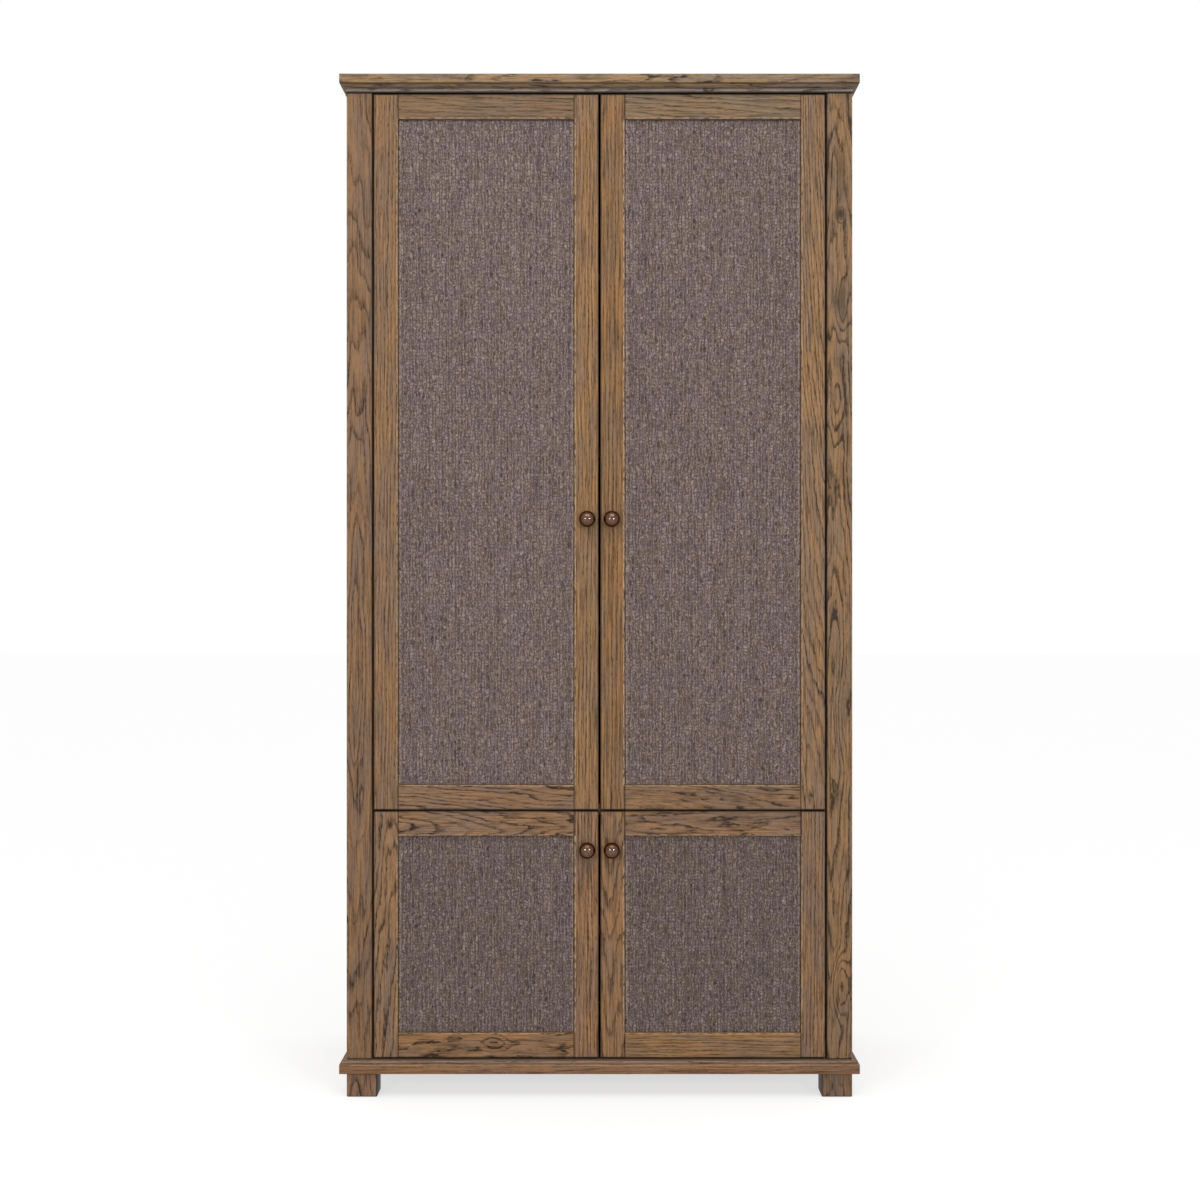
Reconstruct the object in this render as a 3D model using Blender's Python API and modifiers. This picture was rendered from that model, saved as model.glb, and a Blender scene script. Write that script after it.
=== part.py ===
"""Tall cabinet in stained oak: two long doors over two short ones.

Four square feet carry a moulded base board. Two deep front posts, two side panels and a back
panel stand on it under a moulded cornice board. A middle shelf divides the cabinet behind the
line where the long and the short doors meet. Each door is a grooved frame round a board that
is covered in woven fabric, and it turns on concealed cup hinges: the arms are on the front
posts, and the cups are sunk in the back of the door's outer stile.

Metres, +Z up, the front faces -Y, and +X is to the right as seen from the front. The origin is
on the floor, in the middle of the outline from above, with the knobs counted in.
"""

import math

import bmesh
import bpy
from mathutils import Vector

# Clearances and edges
FIT = 0.0003
EASE = 0.0008
EASE_STEPS = 1
SHARP_EDGE_DEGREES = 50
WELD_DISTANCE = 0.00005

# Carcass
BODY_WIDTH = 0.990
BODY_DEPTH = 0.545
OVERALL_HEIGHT = 2.000
POST_WIDTH = 0.050
POST_BEHIND_ARM = 0.0026
SIDE_THICKNESS = 0.020
TONGUE_THICKNESS = 0.008
TONGUE_LENGTH = 0.008
BACK_THICKNESS = 0.008
BACK_INSET = 0.010
SHELF_THICKNESS = 0.022
SHELF_HOUSING_DEPTH = 0.008
UPPER_SHELVES = 3
LOWER_SHELVES = 1

# Feet
FOOT_WIDTH = 0.060
FOOT_HEIGHT = 0.048
FOOT_EASE = 0.0015
FOOT_TENON_RADIUS = 0.009
FOOT_TENON_LENGTH = 0.012

# Cornice board, from its top face down
CORNICE_OVERHANG = 0.013
CORNICE_FASCIA = 0.0175
CORNICE_QUIRK_IN = 0.0025
CORNICE_QUIRK_HEIGHT = 0.0015
CORNICE_OVOLO_OUT = 0.001
CORNICE_OVOLO_HEIGHT = 0.0095
CORNICE_FILLET_OVERHANG = 0.0055
CORNICE_FILLET = 0.0055

# Base board, from its top face down
BASE_OVERHANG = 0.013
BASE_BEAD_OVERHANG = 0.010
BASE_BEAD_RADIUS = 0.004
BASE_BEAD_FILLET = 0.002
BASE_QUIRK_IN = 0.001
BASE_QUIRK_HEIGHT = 0.001
BASE_NOSE_RADIUS = 0.001
BASE_FASCIA = 0.018

# Doors
DOOR_THICKNESS = 0.022
SIDE_GAP = 0.003
CENTRE_GAP = 0.004
END_GAP = 0.003
MEETING_GAP = 0.003
MEETING_HEIGHT = 0.561
RAIL_WIDTH = 0.048
PANEL_THICKNESS = 0.006
PANEL_RECESS = 0.007
GROOVE_DEPTH = 0.006
SHELF_BEHIND_DOOR = 0.001

# Concealed hinges
CUP_RADIUS = 0.0175
CUP_DEPTH = 0.012
CUP_WALL = 0.0012
CUP_EDGE_WOOD = 0.0035
CUP_GROOVE_WOOD = 0.0019
FLANGE_THICKNESS = 0.0015
FLANGE_LIP = 0.002
WING_HALF_LENGTH = 0.029
WING_OFFSET = 0.0095
WING_WIDTH = 0.011
ARM_STANDOFF = 0.0006
ARM_LENGTH = 0.048
ARM_WIDTH = 0.013
ARM_HEIGHT = 0.0145
ARM_BACK_HEIGHT = 0.009
ARM_NECK_HEIGHT = 0.006
ARM_CRANK_LENGTH = 0.0145
ARM_NOSE_THICKNESS = 0.007
ARM_NOSE_PAST_CUP_CENTRE = 0.006
PLATE_THICKNESS = 0.002
PLATE_HALF_LENGTH = 0.027
PLATE_WIDTH = 0.012
PLATE_FROM_ARM_BACK = 0.012
UPPER_DOOR_HINGES = 3
LOWER_DOOR_HINGES = 2
HINGE_FROM_DOOR_END = 0.100

# Knobs
KNOB_RADIUS = 0.016
KNOB_PROJECTION = 0.033
KNOB_HEAD_DEPTH = 0.026
KNOB_NECK_RADIUS = 0.006
KNOB_ROSE_RADIUS = 0.010
KNOB_ROSE_THICKNESS = 0.003
KNOB_SPIGOT_RADIUS = 0.004
KNOB_SPIGOT_LENGTH = 0.008
KNOB_FROM_MEETING_EDGE = 0.022
UPPER_KNOB_ABOVE_DOOR_BOTTOM = 0.5685
LOWER_KNOB_BELOW_DOOR_TOP = 0.0745
KNOB_ARC_STEPS = 7

TURNING_STEPS = 24
ARC_STEPS = 4

# Places that follow from the sizes above
FRONT_Y = (max(KNOB_PROJECTION, CORNICE_OVERHANG, BASE_OVERHANG) - BODY_DEPTH) / 2
BACK_Y = FRONT_Y + BODY_DEPTH
BASE_THICKNESS = BASE_BEAD_RADIUS + BASE_BEAD_FILLET + BASE_QUIRK_HEIGHT + BASE_NOSE_RADIUS + BASE_FASCIA
CORNICE_THICKNESS = CORNICE_FASCIA + CORNICE_QUIRK_HEIGHT + CORNICE_OVOLO_HEIGHT + CORNICE_FILLET
BASE_TOP = FOOT_HEIGHT + BASE_THICKNESS
CORNICE_BOTTOM = OVERALL_HEIGHT - CORNICE_THICKNESS
OPENING_HALF = BODY_WIDTH / 2 - POST_WIDTH
SIDE_INNER = BODY_WIDTH / 2 - SIDE_THICKNESS
DOOR_BACK_Y = FRONT_Y + DOOR_THICKNESS
ARM_NOSE_Y = DOOR_BACK_Y + FIT + FLANGE_THICKNESS + ARM_STANDOFF
POST_BACK_Y = ARM_NOSE_Y + ARM_LENGTH + POST_BEHIND_ARM
BACK_PANEL_FRONT_Y = BACK_Y - BACK_INSET - BACK_THICKNESS
STILE_WIDTH = CUP_EDGE_WOOD + 2 * (CUP_RADIUS + FIT) + CUP_GROOVE_WOOD + GROOVE_DEPTH
CUP_FROM_DOOR_EDGE = CUP_EDGE_WOOD + CUP_RADIUS + FIT
TENON_LENGTH = GROOVE_DEPTH - FIT

OAK = ("#8A6A4D", 0.5, 0.0)
OAK_INSIDE = ("#97785A", 0.6, 0.0)
FABRIC = ("#6C5C56", 0.95, 0.0)
BRONZE = ("#6A4F33", 0.35, 1.0)
NICKEL = ("#C9C7C2", 0.3, 1.0)

SIDES = (("left", -1), ("right", 1))


def clear_scene():
    """Remove every object that is already in the scene."""
    for old in list(bpy.data.objects):
        bpy.data.objects.remove(old, do_unlink=True)


def new_collection(name):
    """Add a collection to the scene."""
    collection = bpy.data.collections.new(name)
    bpy.context.scene.collection.children.link(collection)
    return collection


def linear_colour(hex_colour):
    """Turn an sRGB hex colour into linear red, green, blue and alpha."""
    channels = [int(hex_colour[i:i + 2], 16) / 255 for i in (1, 3, 5)]
    linear = [c / 12.92 if c <= 0.04045 else ((c + 0.055) / 1.055) ** 2.4 for c in channels]
    return (*linear, 1.0)


def new_material(name, finish):
    """Make a part's own material from a finish: hex colour, roughness and metallic value."""
    hex_colour, roughness, metallic = finish
    material = bpy.data.materials.new(name)
    material.use_nodes = True
    shader = material.node_tree.nodes["Principled BSDF"]
    shader.inputs["Base Color"].default_value = linear_colour(hex_colour)
    shader.inputs["Roughness"].default_value = roughness
    shader.inputs["Metallic"].default_value = metallic
    material.diffuse_color = linear_colour(hex_colour)
    return material


def place(name, mesh, location, collection, parent=None, rotation=(0, 0, 0)):
    """Put a mesh in the scene as a named object, in its parent's frame when it has one."""
    thing = bpy.data.objects.new(name, mesh)
    thing.location = Vector(location)
    thing.rotation_euler = rotation
    if parent:
        thing.parent = parent
        thing.location -= parent.location
    collection.objects.link(thing)
    return thing


def finish_part(part, finish):
    """Give a part its material, on the object, so that copies may share one mesh."""
    if not part.data.materials:
        part.data.materials.append(None)
    part.material_slots[0].link = "OBJECT"
    part.material_slots[0].material = new_material(part.name + "_finish", finish)


def box_mesh(name, size):
    """A box of the given size, centred on its own origin."""
    shape = bmesh.new()
    bmesh.ops.create_cube(shape, size=1.0)
    bmesh.ops.scale(shape, vec=size, verts=shape.verts)
    mesh = bpy.data.meshes.new(name)
    shape.to_mesh(mesh)
    shape.free()
    return mesh


def box_between(name, corner, opposite, collection, parent=None):
    """A box object between two opposite corners, given in any order."""
    low = Vector(map(min, corner, opposite))
    high = Vector(map(max, corner, opposite))
    return place(name, box_mesh(name, high - low), (low + high) / 2, collection, parent)


def ease_edges(part, width=EASE):
    """Round a part's sharp edges a little."""
    bevel = part.modifiers.new("eased_edges", "BEVEL")
    bevel.width = width
    bevel.segments = EASE_STEPS
    bevel.limit_method = "ANGLE"
    bevel.angle_limit = math.radians(SHARP_EDGE_DEGREES)


def add_board(name, corner, opposite, finish=OAK, parent=None, ease=EASE):
    """A board with eased edges between two opposite corners."""
    board = box_between(name, corner, opposite, PARTS, parent)
    ease_edges(board, ease)
    finish_part(board, finish)
    return board


def use_tool(part, tool, operation):
    """Cut a part by a tool object, or join the tool to it, and hide the tool."""
    tool.hide_render = True
    tool.display_type = "WIRE"
    boolean = part.modifiers.new(tool.name, "BOOLEAN")
    boolean.operation = operation
    boolean.solver = "EXACT"
    boolean.object = tool


def cut_box(part, label, corner, opposite):
    """Cut a box out of a part."""
    tool = box_between(part.name + "_" + label, corner, opposite, TOOLS, part.parent)
    use_tool(part, tool, "DIFFERENCE")


def join_box(part, label, corner, opposite):
    """Join a box to a part."""
    tool = box_between(part.name + "_" + label, corner, opposite, TOOLS, part.parent)
    use_tool(part, tool, "UNION")


def cylinder_mesh(name, radius, length):
    """A cylinder along Z, centred on its own origin."""
    shape = bmesh.new()
    bmesh.ops.create_cone(shape, cap_ends=True, segments=TURNING_STEPS, radius1=radius, radius2=radius,
                          depth=length)
    mesh = bpy.data.meshes.new(name)
    shape.to_mesh(mesh)
    shape.free()
    return mesh


def use_cylinder(part, label, radius, start, end, operation):
    """Cut or join a cylinder whose axis runs from start to end, along Y or Z."""
    start, end = Vector(start), Vector(end)
    mesh = cylinder_mesh(part.name + "_" + label, radius, (end - start).length)
    along_y = abs(end.y - start.y) > abs(end.z - start.z)
    rotation = (math.pi / 2, 0, 0) if along_y else (0, 0, 0)
    tool = place(mesh.name, mesh, (start + end) / 2, TOOLS, part.parent, rotation)
    use_tool(part, tool, operation)


def arc_points(centre, radii, start, end, steps):
    """Points on an ellipse arc, from the start angle to the end angle in degrees."""
    points = []
    for i in range(steps + 1):
        angle = math.radians(start + (end - start) * i / steps)
        points.append((centre[0] + radii[0] * math.cos(angle), centre[1] + radii[1] * math.sin(angle)))
    return points


def cornice_profile():
    """The cornice board's edge, as (overhang, height), from its top face down."""
    quirk_top = OVERALL_HEIGHT - CORNICE_FASCIA
    quirk_bottom = quirk_top - CORNICE_QUIRK_HEIGHT
    quirk_overhang = CORNICE_OVERHANG - CORNICE_QUIRK_IN
    ovolo_width = quirk_overhang + CORNICE_OVOLO_OUT - CORNICE_FILLET_OVERHANG
    ovolo = arc_points((CORNICE_FILLET_OVERHANG, quirk_bottom), (ovolo_width, CORNICE_OVOLO_HEIGHT),
                       0, -90, ARC_STEPS)
    return [
        (CORNICE_OVERHANG, OVERALL_HEIGHT),
        (CORNICE_OVERHANG, quirk_top),
        (quirk_overhang, quirk_top),
        (quirk_overhang, quirk_bottom),
        *ovolo,
        (CORNICE_FILLET_OVERHANG, CORNICE_BOTTOM),
    ]


def base_profile():
    """The base board's edge, as (overhang, height), from its top face down."""
    bead_bottom = BASE_TOP - BASE_BEAD_RADIUS
    fillet_bottom = bead_bottom - BASE_BEAD_FILLET
    quirk_bottom = fillet_bottom - BASE_QUIRK_HEIGHT
    bead = arc_points((BASE_BEAD_OVERHANG - BASE_BEAD_RADIUS, bead_bottom),
                      (BASE_BEAD_RADIUS, BASE_BEAD_RADIUS), 90, 0, ARC_STEPS)
    nose = arc_points((BASE_OVERHANG - BASE_NOSE_RADIUS, quirk_bottom - BASE_NOSE_RADIUS),
                      (BASE_NOSE_RADIUS, BASE_NOSE_RADIUS), 90, 0, ARC_STEPS)
    return [
        *bead,
        (BASE_BEAD_OVERHANG, fillet_bottom),
        (BASE_BEAD_OVERHANG - BASE_QUIRK_IN, fillet_bottom),
        (BASE_BEAD_OVERHANG - BASE_QUIRK_IN, quirk_bottom),
        *nose,
        (BASE_OVERHANG, FOOT_HEIGHT),
    ]


def set_outline(face, overhang, height):
    """Move a board's end face to the carcass outline, overhung all round."""
    for vert in face.verts:
        vert.co.x = math.copysign(BODY_WIDTH / 2 + overhang, vert.co.x)
        vert.co.y = BACK_Y + overhang if vert.co.y > 0 else FRONT_Y - overhang
        vert.co.z = height


def saw_off_back(shape):
    """Saw a board off flush with the back of the carcass."""
    cut = bmesh.ops.bisect_plane(shape, geom=[*shape.verts, *shape.edges, *shape.faces],
                                 plane_co=(0, BACK_Y, 0), plane_no=(0, 1, 0), clear_outer=True)
    edges = [piece for piece in cut["geom_cut"] if isinstance(piece, bmesh.types.BMEdge)]
    bmesh.ops.contextual_create(shape, geom=edges)


def add_moulded_board(name, profile):
    """A board whose front and side edges follow a profile, extruded down from its top face."""
    shape = bmesh.new()
    bmesh.ops.create_cube(shape, size=1.0)
    faces = sorted(shape.faces, key=lambda face: face.calc_center_median().z)
    end = faces[0]
    set_outline(faces[-1], *profile[0])
    set_outline(end, *profile[1])
    for overhang, height in profile[2:]:
        end = bmesh.ops.extrude_discrete_faces(shape, faces=[end])["faces"][0]
        set_outline(end, overhang, height)
    saw_off_back(shape)
    centre = Vector((0, 0, (profile[0][1] + profile[-1][1]) / 2))
    bmesh.ops.translate(shape, vec=-centre, verts=shape.verts)
    mesh = bpy.data.meshes.new(name)
    shape.to_mesh(mesh)
    shape.free()
    board = place(name, mesh, centre, PARTS)
    finish_part(board, OAK)
    return board


def foot_centres():
    """Each foot's name and its centre, with the outer faces flush with the body."""
    inset = FOOT_WIDTH / 2
    for side, sign in SIDES:
        x = sign * (BODY_WIDTH / 2 - inset)
        yield "front_" + side + "_foot", x, FRONT_Y + inset
        yield "back_" + side + "_foot", x, BACK_Y - inset


def build_base():
    """The base board and the four feet, each with a round tenon in the board's underside."""
    base = add_moulded_board("base_board", base_profile())
    half = FOOT_WIDTH / 2
    for name, x, y in foot_centres():
        foot = add_board(name, (x - half, y - half, 0), (x + half, y + half, FOOT_HEIGHT - FIT),
                         ease=FOOT_EASE)
        use_cylinder(foot, "tenon", FOOT_TENON_RADIUS, (x, y, FOOT_HEIGHT / 2),
                     (x, y, FOOT_HEIGHT + FOOT_TENON_LENGTH), "UNION")
        use_cylinder(base, name + "_bore", FOOT_TENON_RADIUS + FIT, (x, y, FOOT_HEIGHT / 2),
                     (x, y, FOOT_HEIGHT + FOOT_TENON_LENGTH + FIT), "DIFFERENCE")


def shelf_bottoms(floor, ceiling, count):
    """The undersides of evenly spaced shelves between a floor and a ceiling."""
    space = (ceiling - floor - count * SHELF_THICKNESS) / (count + 1)
    return [floor + space + i * (space + SHELF_THICKNESS) for i in range(count)]


def all_shelves():
    """Each shelf's name and underside, the middle shelf first."""
    middle = MEETING_HEIGHT - SHELF_THICKNESS / 2
    shelves = [("middle_shelf", middle)]
    for bottom in shelf_bottoms(BASE_TOP, middle, LOWER_SHELVES):
        shelves.append(("lower_shelf", bottom))
    uppers = shelf_bottoms(middle + SHELF_THICKNESS, CORNICE_BOTTOM, UPPER_SHELVES)
    for number, bottom in enumerate(uppers, start=1):
        shelves.append(("upper_shelf_" + str(number), bottom))
    return shelves


def build_shelves():
    """The shelves, housed in the side panels, and the middle one notched round the posts."""
    half = SIDE_INNER + SHELF_HOUSING_DEPTH - FIT
    back = BACK_PANEL_FRONT_Y - FIT
    for name, bottom in all_shelves():
        top = bottom + SHELF_THICKNESS
        front = POST_BACK_Y + FIT
        if name == "middle_shelf":
            front = DOOR_BACK_Y + SHELF_BEHIND_DOOR
        shelf = add_board(name, (-half, front, bottom), (half, back, top), OAK_INSIDE)
        if name == "middle_shelf":
            for side, sign in SIDES:
                cut_box(shelf, side + "_notch", (sign * (OPENING_HALF - FIT), FRONT_Y, bottom - EASE),
                        (sign * BODY_WIDTH / 2, POST_BACK_Y + FIT, top + EASE))


def build_sides_and_posts():
    """The front posts and the side panels that are tongued into their backs."""
    low = BASE_TOP + FIT
    high = CORNICE_BOTTOM - FIT
    tongue_x = BODY_WIDTH / 2 - SIDE_THICKNESS / 2
    for side, sign in SIDES:
        outer = sign * BODY_WIDTH / 2
        post = add_board(side + "_front_post", (outer, FRONT_Y, low),
                         (sign * OPENING_HALF, POST_BACK_Y, high))
        half = TONGUE_THICKNESS / 2 + FIT
        cut_box(post, "groove", (sign * tongue_x - half, POST_BACK_Y - TONGUE_LENGTH - FIT, low - EASE),
                (sign * tongue_x + half, POST_BACK_Y + EASE, high + EASE))
        panel = add_board(side + "_side_panel", (outer, POST_BACK_Y + FIT, low),
                          (sign * SIDE_INNER, BACK_Y, high))
        half = TONGUE_THICKNESS / 2
        join_box(panel, "tongue", (sign * tongue_x - half, POST_BACK_Y - TONGUE_LENGTH, low),
                 (sign * tongue_x + half, POST_BACK_Y + SIDE_THICKNESS, high))
        for name, bottom in all_shelves():
            cut_box(panel, name + "_housing",
                    (sign * (SIDE_INNER + SHELF_HOUSING_DEPTH), POST_BACK_Y, bottom - FIT),
                    (sign * (SIDE_INNER - EASE), BACK_PANEL_FRONT_Y, bottom + SHELF_THICKNESS + FIT))
        cut_box(panel, "back_groove",
                (sign * (SIDE_INNER + SHELF_HOUSING_DEPTH), BACK_PANEL_FRONT_Y - FIT, low - EASE),
                (sign * (SIDE_INNER - EASE), BACK_PANEL_FRONT_Y + BACK_THICKNESS + FIT, high + EASE))


def build_back():
    """The back panel, held in grooves in the side panels."""
    half = SIDE_INNER + SHELF_HOUSING_DEPTH - FIT
    add_board("back_panel", (-half, BACK_PANEL_FRONT_Y, BASE_TOP + FIT),
              (half, BACK_PANEL_FRONT_Y + BACK_THICKNESS, CORNICE_BOTTOM - FIT), OAK_INSIDE)


def add_frame_piece(name, corner, opposite, groove, parent):
    """A stile or a rail of a door, with its panel groove cut along one edge."""
    piece = add_board(name, corner, opposite, parent=parent)
    cut_box(piece, "groove", *groove)
    return piece


def build_door(door, sign, bottom, top, hinge_heights, knob_height):
    """One door: two grooved stiles, two tenoned rails, the fabric panel and the knob."""
    axis = bpy.data.objects.new(door + "_axis", None)
    axis.location = (sign * (OPENING_HALF - SIDE_GAP / 2), FRONT_Y, bottom)
    axis.empty_display_size = POST_WIDTH
    PARTS.objects.link(axis)

    outer = sign * (OPENING_HALF - SIDE_GAP)
    inner = sign * CENTRE_GAP / 2
    outer_bare = outer - sign * STILE_WIDTH
    inner_bare = inner + sign * STILE_WIDTH
    groove_front = FRONT_Y + PANEL_RECESS - FIT
    groove_back = FRONT_Y + PANEL_RECESS + PANEL_THICKNESS + FIT
    stiles = (("outer", outer, outer_bare, sign), ("inner", inner, inner_bare, -sign))
    made = {}
    for label, edge, bare, away in stiles:
        groove = ((bare + away * GROOVE_DEPTH, groove_front, bottom - EASE),
                  (bare - away * EASE, groove_back, top + EASE))
        made[label] = add_frame_piece(door + "_" + label + "_stile", (edge, FRONT_Y, bottom),
                                      (bare, DOOR_BACK_Y, top), groove, axis)

    rail_ends = (outer_bare - sign * FIT, inner_bare + sign * FIT)
    tenon_ends = (outer_bare + sign * TENON_LENGTH, inner_bare - sign * TENON_LENGTH)
    rails = (("top", top, top - RAIL_WIDTH, 1), ("bottom", bottom, bottom + RAIL_WIDTH, -1))
    for label, edge, bare, away in rails:
        rail = add_board(door + "_" + label + "_rail", (rail_ends[0], FRONT_Y, edge),
                         (rail_ends[1], DOOR_BACK_Y, bare), parent=axis)
        join_box(rail, "tenon", (tenon_ends[0], FRONT_Y + PANEL_RECESS, edge - away * EASE),
                 (tenon_ends[1], FRONT_Y + PANEL_RECESS + PANEL_THICKNESS, bare + away * EASE))
        cut_box(rail, "groove", (outer, groove_front, bare + away * GROOVE_DEPTH),
                (inner, groove_back, bare - away * EASE))

    panel_low = bottom + RAIL_WIDTH - TENON_LENGTH
    panel_high = top - RAIL_WIDTH + TENON_LENGTH
    panel = box_between(door + "_fabric_panel", (tenon_ends[0], FRONT_Y + PANEL_RECESS, panel_low),
                        (tenon_ends[1], FRONT_Y + PANEL_RECESS + PANEL_THICKNESS, panel_high), PARTS, axis)
    finish_part(panel, FABRIC)

    cup_x = outer - sign * CUP_FROM_DOOR_EDGE
    for number, height in enumerate(hinge_heights, start=1):
        use_cylinder(made["outer"], "cup_bore_" + str(number), CUP_RADIUS + FIT,
                     (cup_x, DOOR_BACK_Y - CUP_DEPTH - FIT, height),
                     (cup_x, DOOR_BACK_Y + DOOR_THICKNESS, height), "DIFFERENCE")

    knob_x = inner + sign * KNOB_FROM_MEETING_EDGE
    use_cylinder(made["inner"], "knob_bore", KNOB_SPIGOT_RADIUS + FIT,
                 (knob_x, FRONT_Y - EASE, knob_height),
                 (knob_x, FRONT_Y + KNOB_SPIGOT_LENGTH + FIT, knob_height), "DIFFERENCE")
    knob = place(door + "_knob", knob_mesh(), (knob_x, FRONT_Y, knob_height), PARTS, axis,
                 (math.pi / 2, 0, 0))
    turn_profile(knob)
    finish_part(knob, BRONZE)
    return axis


def profile_mesh(name, points):
    """An open chain of edges in the XZ plane, to be turned about Z."""
    mesh = bpy.data.meshes.new(name)
    edges = [(i, i + 1) for i in range(len(points) - 1)]
    mesh.from_pydata([(x, 0, z) for x, z in points], edges, [])
    return mesh


def turn_profile(part):
    """Turn a part's profile about its Z axis into a closed solid."""
    screw = part.modifiers.new("turned", "SCREW")
    screw.steps = TURNING_STEPS
    screw.render_steps = TURNING_STEPS
    screw.use_merge_vertices = True
    screw.merge_threshold = WELD_DISTANCE
    screw.use_smooth_shade = True


def knob_mesh():
    """The knob's profile: a flattened ball on a neck and a rose, with a spigot behind."""
    head_centre = KNOB_PROJECTION - KNOB_HEAD_DEPTH / 2
    radii = (KNOB_RADIUS, KNOB_HEAD_DEPTH / 2)
    neck_angle = -math.degrees(math.acos(KNOB_NECK_RADIUS / KNOB_RADIUS))
    head = arc_points((0, head_centre), radii, 90, neck_angle, KNOB_ARC_STEPS)
    head[0] = (0, KNOB_PROJECTION)
    return profile_mesh("knob_profile", [
        *head,
        (KNOB_NECK_RADIUS, KNOB_ROSE_THICKNESS + FIT),
        (KNOB_ROSE_RADIUS - EASE, KNOB_ROSE_THICKNESS + FIT),
        (KNOB_ROSE_RADIUS, KNOB_ROSE_THICKNESS + FIT - EASE),
        (KNOB_ROSE_RADIUS, FIT),
        (KNOB_SPIGOT_RADIUS, FIT),
        (KNOB_SPIGOT_RADIUS, -KNOB_SPIGOT_LENGTH),
        (0, -KNOB_SPIGOT_LENGTH),
    ])


def baked_mesh(pattern):
    """The finished mesh of a pattern object, which is then removed with its tools."""
    bpy.context.view_layer.update()
    evaluated = pattern.evaluated_get(bpy.context.evaluated_depsgraph_get())
    mesh = bpy.data.meshes.new_from_object(evaluated)
    tools = [modifier.object for modifier in pattern.modifiers if modifier.type == "BOOLEAN"]
    for thing in (pattern, *tools):
        bpy.data.objects.remove(thing, do_unlink=True)
    return mesh


def hinge_cup_mesh():
    """A left-hand hinge cup: a turned cup with a rim, and a plate whose two ends are its wings.

    Its origin is on the cup's axis in the door's back face, and +Z points out of its mouth.
    """
    flange_top = FIT + FLANGE_THICKNESS
    profile = profile_mesh("hinge_cup", [
        (0, flange_top),
        (CUP_RADIUS + FLANGE_LIP, flange_top),
        (CUP_RADIUS + FLANGE_LIP, FIT),
        (CUP_RADIUS, FIT),
        (CUP_RADIUS, -CUP_DEPTH),
        (0, -CUP_DEPTH),
    ])
    cup = place("hinge_cup_pattern", profile, (0, 0, 0), TOOLS)
    turn_profile(cup)
    plate = box_between("hinge_wings_pattern", (WING_OFFSET - WING_WIDTH / 2, -WING_HALF_LENGTH, FIT),
                        (WING_OFFSET + WING_WIDTH / 2, WING_HALF_LENGTH, flange_top), TOOLS)
    use_tool(cup, plate, "UNION")
    use_cylinder(cup, "hollow", CUP_RADIUS - CUP_WALL, (0, 0, CUP_WALL - CUP_DEPTH),
                 (0, 0, flange_top + CUP_DEPTH), "DIFFERENCE")
    return baked_mesh(cup)


def hinge_arm_outline():
    """A left-hand hinge arm seen from above, as (away from the post, back along the arm).

    Its nose dips into the cup as a folded link, down to the cup's floor. The near side of the
    dip is an arc about the door's axis, wide enough for the cup's rim to swing past it.
    """
    nose_reach = SIDE_GAP + CUP_FROM_DOOR_EDGE + ARM_NOSE_PAST_CUP_CENTRE
    nose_depth = ARM_NOSE_Y - FRONT_Y
    floor_depth = DOOR_THICKNESS - CUP_DEPTH + CUP_WALL + FIT
    half_chord = math.sqrt((CUP_RADIUS - CUP_WALL) ** 2 - (ARM_WIDTH / 2) ** 2)
    rim_x = SIDE_GAP / 2 + CUP_FROM_DOOR_EDGE - half_chord
    swing = math.hypot(rim_x, nose_depth - ARM_STANDOFF) + ARM_STANDOFF
    dip = arc_points((SIDE_GAP / 2, -nose_depth), (swing, swing),
                     math.degrees(math.asin(floor_depth / swing)),
                     math.degrees(math.asin(nose_depth / swing)), ARC_STEPS)
    return [
        (FIT, ARM_CRANK_LENGTH),
        (FIT, ARM_LENGTH),
        (ARM_BACK_HEIGHT, ARM_LENGTH),
        (ARM_HEIGHT, ARM_LENGTH - ARM_NOSE_THICKNESS),
        (ARM_HEIGHT, ARM_CRANK_LENGTH + ARM_NOSE_THICKNESS),
        (nose_reach, ARM_NOSE_THICKNESS),
        (nose_reach, floor_depth - nose_depth),
        *dip,
        (ARM_NECK_HEIGHT, ARM_NOSE_THICKNESS),
        (ARM_NECK_HEIGHT, ARM_CRANK_LENGTH),
    ]


def hinge_arm_mesh():
    """A left-hand hinge arm with its winged plate, which is screwed to the post.

    Its origin is on the post's inner face, just behind the cup's rim. +X points away from
    the post, and +Y runs back along the arm.
    """
    outline = hinge_arm_outline()
    curve = bpy.data.curves.new("hinge_arm", "CURVE")
    curve.dimensions = "2D"
    curve.fill_mode = "BOTH"
    curve.extrude = ARM_WIDTH / 2
    spline = curve.splines.new("POLY")
    spline.points.add(len(outline) - 1)
    for point, (x, y) in zip(spline.points, outline):
        point.co = (x, y, 0, 1)
    spline.use_cyclic_u = True
    flat = place("hinge_arm_outline", curve, (0, 0, 0), TOOLS)
    mesh = baked_mesh(flat)
    welded = bmesh.new()
    welded.from_mesh(mesh)
    bmesh.ops.remove_doubles(welded, verts=welded.verts, dist=WELD_DISTANCE)
    bmesh.ops.recalc_face_normals(welded, faces=welded.faces)
    welded.to_mesh(mesh)
    welded.free()
    arm = place("hinge_arm_pattern", mesh, (0, 0, 0), TOOLS)
    plate_back = ARM_LENGTH - PLATE_FROM_ARM_BACK
    plate = box_between("hinge_plate_pattern", (FIT, plate_back - PLATE_WIDTH, -PLATE_HALF_LENGTH),
                        (FIT + PLATE_THICKNESS, plate_back, PLATE_HALF_LENGTH), TOOLS)
    use_tool(arm, plate, "UNION")
    return baked_mesh(arm)


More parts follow.
